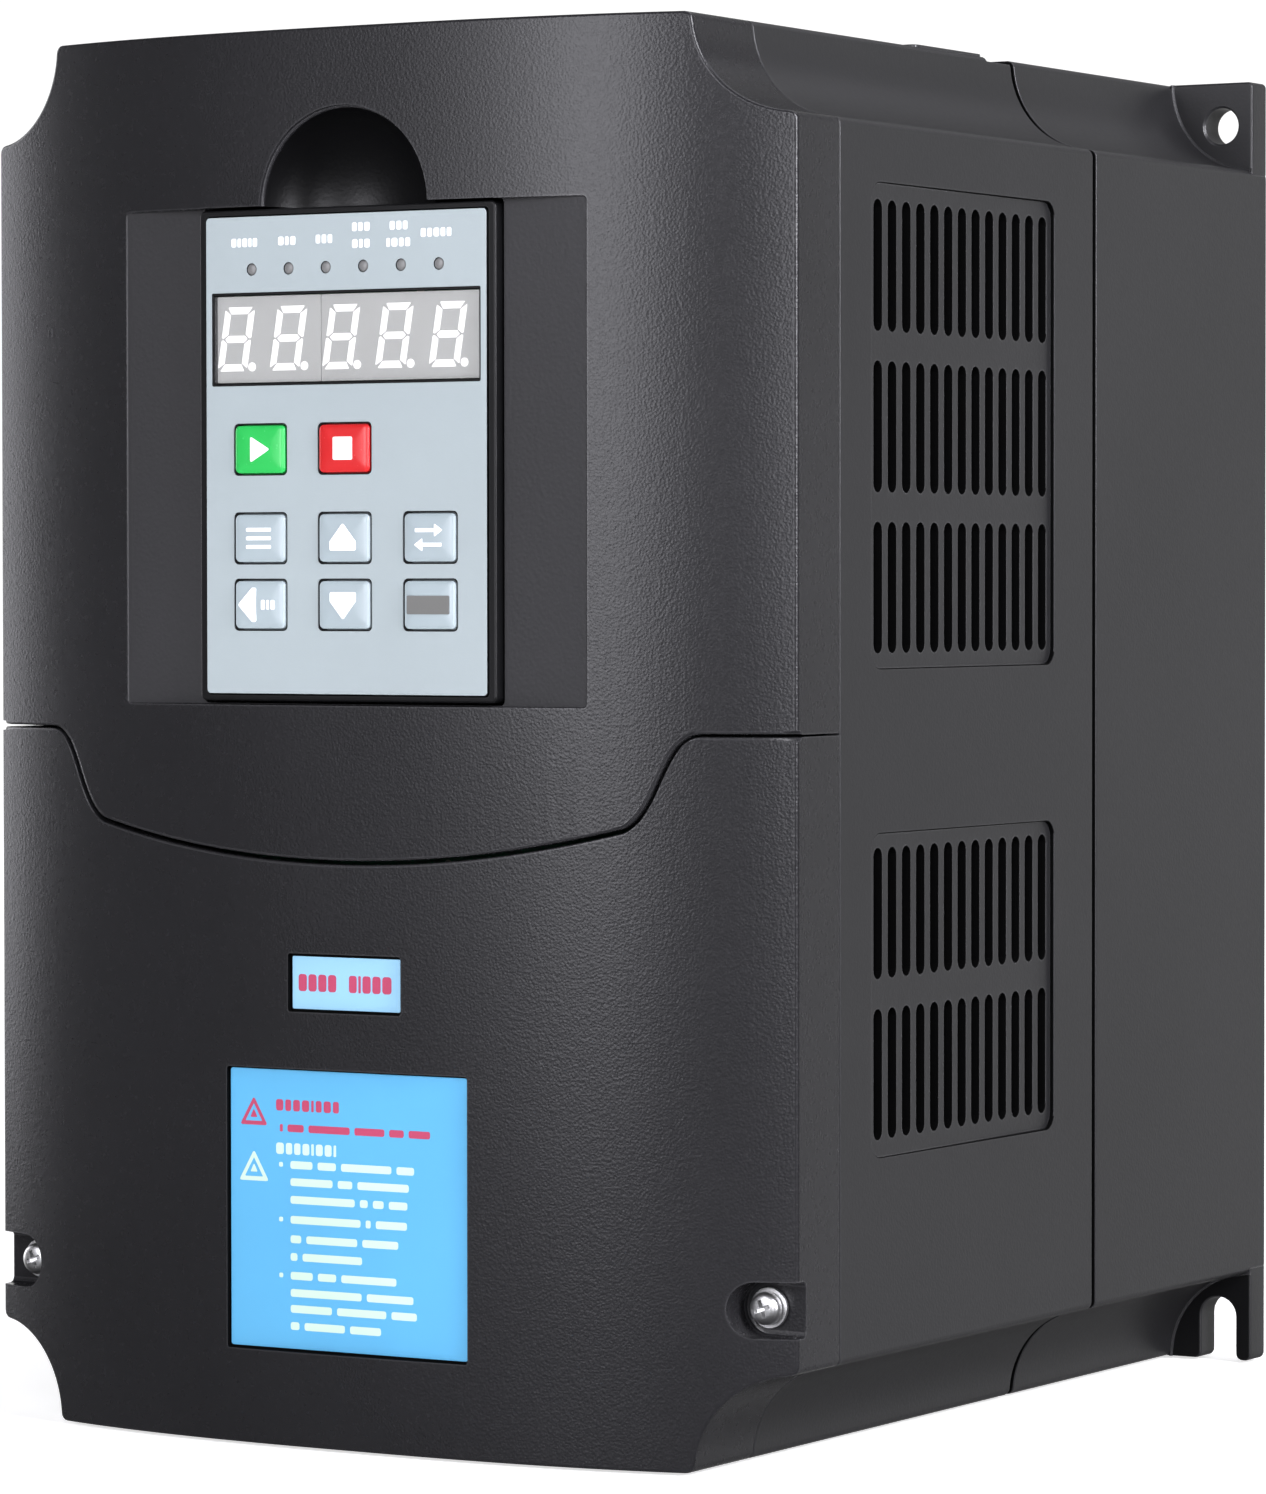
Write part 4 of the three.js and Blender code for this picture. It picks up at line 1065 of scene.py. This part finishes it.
# The words over the lamps as bars: lamp, distance to its left, height, bar widths and the gap between them.
CAPTIONS = (
    (0, 4.2, 210.2, (1.0, 0.7, 1.0, 0.6, 0.9), 0.3),
    (1, 2.1, 210.3, (1.1, 0.7, 1.1), 0.35),
    (2, 2.0, 210.4, (0.9, 0.9, 0.9), 0.35),
    (3, 2.2, 212.3, (0.9, 0.9, 1.1), 0.35),
    (3, 2.2, 209.4, (1.1, 0.7, 1.1), 0.35),
    (4, 2.2, 212.3, (1.0, 1.0, 0.9), 0.35),
    (4, 2.9, 209.4, (0.7, 1.2, 0.9, 1.0), 0.35),
    (5, 3.6, 210.9, (1.0, 0.9, 1.1, 0.9, 0.9), 0.35),
)


def make_display():
    low, high = WINDOW_LOW, WINDOW_HIGH
    for word, x0, x1 in (("left", -WINDOW_HALF, -5.56), ("right", -5.44, WINDOW_HALF)):
        name = f"display_block_{word}"
        body = block("body", x0, x1, 189.9, 196.3, low, high, corner=0.25, edge=0.07)
        finish_piece(body, name + "_body", DISPLAY, "display", "keypad", name)
    segments = []
    for i in range(5):
        segments += digit_segments((i - 2) * DIGIT_PITCH - 1.3, (low + high) / 2 + 0.1)
    finish_piece(merge("segments", segments), "display_digits", SEGMENT, "display", "keypad")
    window = block("window", -WINDOW_HALF, WINDOW_HALF, 196.7, 197.1, low, high, corner=0.25, edge=0.06)
    finish_piece(window, "display_window_film", CLEAR, "clear_film", "keypad", "display_window")
    profile = [(0, 189.9), (LAMP_RADIUS, 189.9), (LAMP_RADIUS, 196.9)]
    profile += [(0.9, 197.12), (0.6, 197.24), (0, 197.3)]
    for i in range(6):
        lens = lathe("lens", profile, lamp_x(i), LAMP_Z, steps=28)
        finish_piece(lens, f"indicator_{i + 1}_lens", LAMP_LENS, "lamp", "keypad", f"indicator_{i + 1}")
    captions = []
    for lamp, left, z, widths, gap in CAPTIONS:
        captions += word_bars(lamp_x(lamp) - left, z, 1.5, widths, FACE_FRONT - 0.05, FACE_FRONT + 0.03, gap)
    finish_piece(merge("captions", captions), "lamp_captions", PRINT_WHITE, "label", "keypad")


# ---------------------------------------------------------------- labels

NOTICE_PRINT = (196.75, 196.83)
RATING_PRINT = (197.15, 197.23)
# The notice's paragraphs as bars: distance below the label's top, whether a dot leads the line, bar widths.
NOTICE_LINES = (
    (16.6, True, (4.6, 3.8, 10.4, 3.6)),
    (19.6, False, (8.8, 3.0, 10.6)),
    (22.7, False, (13.4, 1.6, 2.2, 3.8)),
    (26.2, True, (14.6, 1.0, 6.4)),
    (29.6, False, (2.2, 10.6, 7.4)),
    (32.7, False, (1.4, 12.4)),
    (36.0, True, (4.6, 3.8, 11.4)),
    (39.0, False, (14.8, 9.6)),
    (41.8, False, (8.6, 10.2, 5.2)),
    (44.8, False, (1.8, 8.4, 6.4)),
)


def triangle_sign(x, z, size):
    """An open triangle with a small solid one inside it."""
    high, half = size * 0.5, size * 0.58

    def triangle(wide, low, top, radius):
        return rounded_polygon([(x - wide, z - low), (x + wide, z - low), (x, z + top)], radius)

    back, front = NOTICE_PRINT
    sign = plate("outer", triangle(half, high, high, 0.35), back, front)
    combine(sign, plate("inner", triangle(half * 0.62, high * 0.72, high * 0.52, 0.12), back - 1, front + 1))
    return [sign, plate("core", triangle(0.75, 1.15, 0.35, 0.15), back, front)]


def make_labels():
    left, top = -NOTICE_HALF, NOTICE_HIGH
    sheet = block("sheet", -NOTICE_HALF, NOTICE_HALF, 196.55, 196.8, NOTICE_LOW, NOTICE_HIGH, edge=0.06)
    finish_piece(sheet, "notice_label_sheet", LABEL_BLUE, "label", "terminal_cover", "notice_label")
    red = triangle_sign(left + 4.9, top - 7.4, 5.0)
    red += word_bars(left + 9.6, top - 6.2, 2.0, (1.5, 1.2, 1.4, 1.5, 0.5, 1.2, 1.5, 1.2), *NOTICE_PRINT)
    red += word_bars(left + 10.4, top - 10.2, 1.3, (0.6, 3.4, 8.6, 6.2, 3.0, 4.4), *NOTICE_PRINT, 1.0)
    finish_piece(merge("red", red), "notice_label_red_print", PRINT_RED, "label", "terminal_cover")
    pale = triangle_sign(left + 4.9, top - 17.0, 5.4)
    pale += word_bars(left + 9.6, top - 13.8, 2.0, (1.6, 1.3, 1.3, 1.4, 0.5, 1.4, 1.4, 0.5), *NOTICE_PRINT)
    for drop, dotted, widths in NOTICE_LINES:
        if dotted:
            pale += word_bars(left + 10.2, top - drop, 0.8, (0.8,), *NOTICE_PRINT)
        pale += word_bars(left + 12.6, top - drop, 1.35, widths, *NOTICE_PRINT, 1.1)
    finish_piece(merge("pale", pale), "notice_label_pale_print", PRINT_CREAM, "label", "terminal_cover")
    ends = (RATING_LOW, RATING_HIGH)
    small = block("small", -RATING_HALF, RATING_HALF, 197.0, 197.2, *ends, corner=0.3, edge=0.06)
    finish_piece(small, "rating_label_sheet", LABEL_PALE, "label", "terminal_cover", "rating_label")
    marks = word_bars(-9.9, 81.2, 3.0, (1.7, 1.7, 1.7, 1.7), *RATING_PRINT, 0.35)
    marks += word_bars(0.6, 81.2, 3.0, (1.6, 0.5, 1.7, 1.7, 1.9), *RATING_PRINT, 0.35)
    finish_piece(merge("marks", marks), "rating_label_print", PRINT_RED, "label", "terminal_cover")


# ---------------------------------------------------------------- screws


def make_screw(name, x, z, seat, tip, body):
    """A pan-head machine screw with a cross recess; seat is the depth of the face under its head."""
    profile = [(0, tip), (1.2, tip + 0.1), (1.5, tip + 0.6)]
    level = tip + 0.9
    while level < seat - 4:
        profile += [(1.75, level), (1.45, level + 0.3)]
        level += 0.6
    profile.append((1.75, level))
    head = (
        (1.75, 0), (2.8, 0), (2.8, 0.9), (2.72, 1.3), (2.5, 1.65),
        (2.1, 1.92), (1.5, 2.08), (0.8, 2.12), (0, 2.13),
    )
    profile += [(radius, seat + rise) for radius, rise in head]
    screw = lathe("screw", profile, x, z, steps=40)
    for turn in (20, 110):
        c, s = math.cos(math.radians(turn)), math.sin(math.radians(turn))
        loops = []
        for half, thin, rise in ((0.35, 0.2, 0.5), (1.45, 0.3, 1.2), (1.75, 0.42, 2.6)):
            corners = ((-half, -thin), (half, -thin), (half, thin), (-half, thin))
            loops.append([(x + a * c - b * s, seat + rise, z + a * s + b * c) for a, b in corners])
        combine(screw, loft("recess", loops))
    finish_piece(screw, name + "_body", SCREW_METAL, "screw", body, name)


def make_fasteners():
    washer_profile = (
        (1.9, 182.3), (3.42, 182.3), (3.5, 182.38), (3.5, 182.92),
        (3.42, 183.0), (1.98, 183.0), (1.9, 182.92),
    )
    for side, word in SIDES:
        make_screw(f"cover_screw_{word}", side * SCREW_X, SCREW_Z, 183.3, 158, "terminal_cover")
        make_screw(f"upper_cover_screw_{word}", side * TAB_SCREW_X, TAB_SCREW_Z, 173.4, 160, "housing")
        washer = ring_lathe("washer", washer_profile, side * SCREW_X, SCREW_Z)
        name = f"cover_washer_{word}"
        finish_piece(washer, name + "_ring", SCREW_METAL, "screw", "terminal_cover", name)


# ---------------------------------------------------------------- fans and cable entries


def make_fans():
    box = (-61.5, 61.5, 4.5, 64.5, 242.8, HEIGHT - 0.4)
    guard = block("guard", *box, corner=1.5, along="z")
    slots = []
    for x in (5.6 * (i - 10) for i in range(21)):
        slots.append(block("slot", x - 1.7, x + 1.7, 9, 60, 240, 250, corner=1.65, edge=0.1, along="z"))
    combine(guard, merge("slots", slots))
    finish_piece(guard, "fan_guard_grille", CASING_SIDE, "casing", "housing", "fan_guard")
    for side, word in SIDES:
        make_fan(word, side * 31.5, 34.5, 217.5, 242.5)


def make_fan(word, x, depth, low, high):
    case = block("case", x - 30, x + 30, depth - 30, depth + 30, low, high, corner=3, edge=0.4, along="z")
    flare = [(0, low - 1), (29.6, low - 1), (28.4, low + 1.5), (28, low + 4)]
    flare += [(28, high - 4), (28.5, high - 1.2), (29.4, high + 1), (0, high + 1)]
    combine(case, lathe("bore", flare, x, depth, along="z", steps=64))
    for b in (-25, 25):
        for a in (-25, 25):
            combine(case, rod("hole", 2.1, low - 1, high + 1, x + a, depth + b, along="z", steps=20))
    name = f"fan_frame_{word}"
    finish_piece(case, name + "_case", FAN_BLACK, "fan", "housing", name)
    parts = []
    for wide, deep in ((28.6, 1.5), (1.5, 28.6)):
        strut = (x - wide, x + wide, depth - deep, depth + deep, low + 0.1, low + 2.6)
        parts.append(block("strut", *strut, corner=0.6, along="z"))
    mount = [(1.9, low), (12.2, low), (12.5, low + 0.3), (12.5, low + 3), (1.9, low + 3)]
    parts.append(ring_lathe("mount", mount, x, depth, along="z"))
    finish_piece(merge("struts", parts), name + "_struts", FAN_BLACK, "fan", "housing")
    make_rotor(f"fan_rotor_{word}", x, depth, low + 3.8, high - 2)


def blade_section(share):
    """A fan blade's section at a share of its length: (along the chord, off the chord) pairs."""
    chord, thick = 15.5 + 2.5 * share, 1.1 - 0.4 * share
    section = []
    for face, steps in ((1, range(13)), (-1, range(11, 0, -1))):
        for j in steps:
            along = j / 12 - 0.5
            out = face * thick / 2 * math.cos(along * math.pi) + 0.25 + 0.9 * (0.25 - along * along)
            section.append((along * chord, out))
    return section


def fan_blade(x, depth, middle, low, high, turn):
    loops = []
    for k in range(9):
        share = k / 8
        radius = 11.8 + 14.7 * share
        pitch = math.radians(48 - 14 * share)
        sweep = 0.22 * share * share
        loop = []
        for along, out in blade_section(share):
            tangent = along * math.cos(pitch) - out * math.sin(pitch)
            rise = along * math.sin(pitch) + out * math.cos(pitch)
            place = on_circle(x, depth, radius, turn + sweep + tangent / radius)
            loop.append((*place, min(max(middle + rise, low + 0.4), high - 0.4)))
        loops.append(loop)
    return loft("blade", loops)


def make_rotor(name, x, depth, low, high):
    profile = [(0, low), (12.2, low), (12.5, low + 0.3), (12.5, high - 1.2)]
    profile += [(12.1, high - 0.4), (11.3, high), (0, high)]
    parts = [lathe("hub", profile, x, depth, along="z")]
    parts.append(rod("shaft", 1.4, low - 3.3, low + 1, x, depth, along="z", steps=16))
    for i in range(7):
        parts.append(fan_blade(x, depth, (low + high) / 2, low, high, 2 * math.pi * i / 7))
    finish_piece(merge("rotor", parts), name + "_blades", FAN_BLACK, "fan", name, name)


def make_grommets():
    profile = [(7.0, 0.9), (7.5, 0.4), (12.5, 0.4), (13.0, 0.9), (13.0, 1.6), (12.7, 1.9), (10.7, 1.9)]
    profile += [(10.7, 5.0), (12.0, 5.0), (12.2, 5.3), (12.2, 6.1), (11.8, 6.5), (7.4, 6.5), (7.0, 6.1)]
    for word, x in ENTRIES.items():
        ring = ring_lathe("ring", profile, x, ENTRY_DEPTH, along="z", steps=56)
        name = f"cable_grommet_{word}"
        finish_piece(ring, name + "_ring", RUBBER, "grommet", "housing", name)


# ---------------------------------------------------------------- inside


def make_power_terminals():
    base, low, high, count, pitch = 93.9, 25.0, 47.0, 9, 13.6
    half, floor, front = count * pitch / 2 + 1, base + 16, base + 32
    strip = block("strip", -half, half, base, front, low, high, corner=0.8)
    bays, clamps, heads = [], [], []
    for i in range(count):
        x = (i - (count - 1) / 2) * pitch
        bays.append(block("bay", x - 5.8, x + 5.8, floor, front + 3, low - 3, high - 3, edge=0.2))
        clamp = (x - 5.3, x + 5.3, floor - 0.2, floor + 0.9, low + 1, 42)
        clamps.append(block("clamp", *clamp, corner=0.6, edge=0.15))
        profile = [(0, floor - 1), (3.6, floor - 1), (3.6, floor + 2.2), (3.4, floor + 2.6)]
        profile += [(2.8, floor + 2.9), (0, floor + 3)]
        head = lathe("head", profile, x, 36, steps=32)
        combine(head, block("slot", x - 3, x + 3, floor + 1.8, floor + 4, 35.5, 36.5, corner=0.2, edge=0.1))
        heads.append(head)
    combine(strip, merge("bays", bays))
    finish_piece(strip, "power_terminal_strip", FAN_BLACK, "keypad_black", "housing", "power_terminal_block")
    finish_piece(merge("clamps", clamps), "power_terminal_clamps", SCREW_METAL, "screw", "housing")
    finish_piece(merge("heads", heads), "power_terminal_screws", SCREW_METAL, "screw", "housing")


def make_control_terminals():
    base, low, high, count, pitch = 156.9, 64.0, 76.0, 12, 7.5
    half = count * pitch / 2 + 0.8
    strip = block("strip", -half, half, base, base + 10, low, high)
    cutters, heads = [], []
    for i in range(count):
        x = (i - (count - 1) / 2) * pitch
        mouth = (x - 1.9, x + 1.9, base + 2, base + 6, low - 2, low + 6)
        cutters.append(block("mouth", *mouth, corner=0.3, edge=0.1))
        well = [(0, base + 7.6), (2.3, base + 7.6), (2.3, base + 9.6), (2.6, base + 11), (0, base + 11)]
        cutters.append(lathe("well", well, x, 71, steps=24))
        profile = [(0, base + 7), (2.1, base + 7), (2.1, base + 8.7), (1.9, base + 8.95), (0, base + 9)]
        head = lathe("head", profile, x, 71, steps=24)
        combine(head, block("slot", x - 2, x + 2, base + 8.3, base + 10, 70.75, 71.25, corner=0.1, edge=0.05))
        heads.append(head)
    combine(strip, merge("cutters", cutters))
    name = "control_terminal_block"
    finish_piece(strip, "control_terminal_strip", TERMINAL_GREEN, "terminal_green", "housing", name)
    finish_piece(merge("heads", heads), "control_terminal_screws", SCREW_METAL, "screw", "housing")


def make_capacitors():
    base = 93.9
    profile = [(0, base), (16.8, base), (16.8, base + 2), (17.5, base + 3), (17.5, base + 4.6)]
    profile += [(16.9, base + 5.2), (17.5, base + 5.9), (17.5, base + 39), (17.1, base + 39.7)]
    profile += [(16.4, base + 40), (15.4, base + 39.6), (0, base + 39.6)]
    for i in range(4):
        can = lathe("can", profile, (i - 1.5) * 37, 190)
        name = f"bus_capacitor_{i + 1}"
        finish_piece(can, name + "_can", CAN_SLEEVE, "can", "housing", name)


def make_board_details():
    chips, pads = [], []

    def pad(x0, x1, front, z0, z1):
        pads.append(block("pad", x0, x1, BOARD_FRONT, front, z0, z1, corner=0.1, edge=0.05))

    packages = ((-30, 92, 12, 8), (4, 90, 16, 12), (36, 94, 8, 6), (-8, 122, 20, 20), (30, 130, 10, 14))
    for x, z, w, h in packages:
        box = (x - w / 2, x + w / 2, 156.7, 158.6, z - h / 2, z + h / 2)
        chips.append(block("chip", *box, corner=0.3, edge=0.2))
        count = int(w / 1.27)
        for i in range(count):
            at = x + (i - (count - 1) / 2) * 1.27
            for edge in (-1, 1):
                pad(at - 0.2, at + 0.2, 157.2, *span(1, z + edge * h / 2, z + edge * (h / 2 + 1.2)))
    for i in range(10):
        x = -44 + i * 9.4
        chips.append(block("part", x - 1.6, x + 1.6, 156.65, 157.5, 80.5, 82.2, corner=0.15, edge=0.1))
        pad(x - 2.3, x - 1.65, 157.4, 80.6, 82.1)
        pad(x + 1.65, x + 2.3, 157.4, 80.6, 82.1)
    finish_piece(merge("chips", chips), "control_board_chips", BLACK, "module", "housing")
    finish_piece(merge("pads", pads), "control_board_solder", SINK_METAL, "screw", "housing")


def dress_carried_nodes():
    """Gives the CAD nodes that stay as they are their materials."""
    finishes = {
        SINK_METAL: ("heat_sink",),
        MODULE: ("igbt_module", "rectifier_module"),
        BOARD_GREEN: ("power_board", "control_board", "keypad_board"),
        BLACK: ("keypad_socket", "keypad_plug"),
    }
    for material, names in finishes.items():
        for name in names:
            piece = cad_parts[name]
            piece.data.materials.clear()
            piece.data.materials.append(material)


make_covers()
make_mid_housing()
make_rear_housing()
make_keypad_case()
make_keys()
make_display()
make_labels()
make_fasteners()
make_fans()
make_grommets()
make_power_terminals()
make_control_terminals()
make_capacitors()
make_board_details()
dress_carried_nodes()

# ---------------------------------------------------------------- stage, lights and camera

CAMERA_PLACE = Vector((0.590, -0.9872, 0.1512))
CAMERA_YAW, CAMERA_PITCH, CAMERA_ROLL = 30.895, 1.552, -0.062
FOCAL_SHARE = 6151.9 / 1266  # focal length over the picture's width


def make_world():
    """White to the eye; what the object mirrors is white behind it, near the horizon, and dim elsewhere."""
    world = bpy.data.worlds.new("studio")
    world.use_nodes = True
    graph = world.node_tree
    direction = node(graph, "ShaderNodeTexCoord", {}).outputs["Generated"]
    yaw = math.radians(CAMERA_YAW)
    behind = vector_maths(graph, "DOT_PRODUCT", direction, (-math.sin(yaw), math.cos(yaw), 0))
    backdrop = fade(graph, behind, 0.1, 1.35, 0.25, 0.97)
    upward = node(graph, "ShaderNodeSeparateXYZ", {0: direction}).outputs["Z"]
    band = fade(graph, maths(graph, "ABSOLUTE", upward), 1.0, 0.15, 0.1, 0.5)
    mirrored_light = maths(graph, "MULTIPLY", backdrop, band)
    seen = node(graph, "ShaderNodeLightPath", {}).outputs["Is Camera Ray"]
    strength = blend(graph, "FLOAT", seen, mirrored_light, 1.1)
    feed(graph, graph.nodes["Background"], {"Strength": strength, "Color": (1, 1, 1, 1)})
    bpy.context.scene.world = world


def make_floor():
    """White paper that glows a little; the object's gloss doesn't mirror it, as under a polarised light."""
    reach = 6000
    corners = [(-reach, -reach, -0.5), (reach, -reach, -0.5), (reach, reach, -0.5), (-reach, reach, -0.5)]
    floor = new_object("floor", corners, [(0, 1, 2, 3)])
    paper = plastic("floor_paper", (0.86, 0.86, 0.86), (0.8, 0.9), 0.01)
    graph = paper.node_tree
    place = node(graph, "ShaderNodeTexCoord", {}).outputs["Object"]
    glow = fade(graph, vector_maths(graph, "LENGTH", place), 0.65, 1.05, 0.8, 1.4)
    feed(graph, graph.nodes["Principled BSDF"], {"Emission Color": (1, 1, 1, 1), "Emission Strength": glow})
    floor.data.materials.append(paper)
    floor.visible_glossy = False


def area_light(name, azimuth, distance, height, target, size, radiance):
    """A soft box seen from the object at an azimuth measured from the front towards the right."""
    data = bpy.data.lights.new(name, "AREA")
    data.shape = "RECTANGLE"
    data.size, data.size_y = size
    data.color = (0.97, 0.965, 1.03)
    data.energy = radiance * math.pi * size[0] * size[1]
    lamp = link_object(name, data)
    turn = math.radians(azimuth)
    lamp.location = (distance * math.sin(turn), -distance * math.cos(turn), height)
    lamp.rotation_euler = (Vector(target) - lamp.location).to_track_quat("-Z", "Y").to_euler()


def make_camera():
    data = bpy.data.cameras.new("camera")
    data.sensor_fit = "HORIZONTAL"
    data.sensor_width = 36.0
    data.lens = FOCAL_SHARE * data.sensor_width
    data.clip_start = 0.01
    data.dof.use_dof = False
    camera = link_object("camera", data)
    turn = Matrix.Rotation(math.radians(CAMERA_YAW), 4, "Z")
    tip = Matrix.Rotation(math.radians(90 - CAMERA_PITCH), 4, "X")
    roll = Matrix.Rotation(math.radians(CAMERA_ROLL), 4, "Z")
    camera.matrix_world = Matrix.Translation(CAMERA_PLACE) @ turn @ tip @ roll
    bpy.context.scene.camera = camera


make_world()
make_floor()
make_camera()
area_light("front_box", -8, 1.3, 0.46, (0, 0, 0.13), (0.3, 0.86), 7.0)
area_light("front_fill", -20, 1.3, 0.46, (0, 0, 0.13), (0.3, 0.86), 1.9)
area_light("right_box", 27, 1.3, 0.45, (0, 0, 0.13), (0.34, 0.8), 7.4)
area_light("left_box", -84, 1.3, 0.34, (0, 0, 0.12), (0.4, 0.8), 3.9)
area_light("top_box", 149, 0.8, 1.7, (-0.2, 0.3, 0), (1.6, 1.6), 1.5)
area_light("edge_box", 75, 1.3, 0.62, (0, 0, 0.12), (0.36, 0.9), 24.0)
bpy.context.scene.view_settings.view_transform = "Standard"
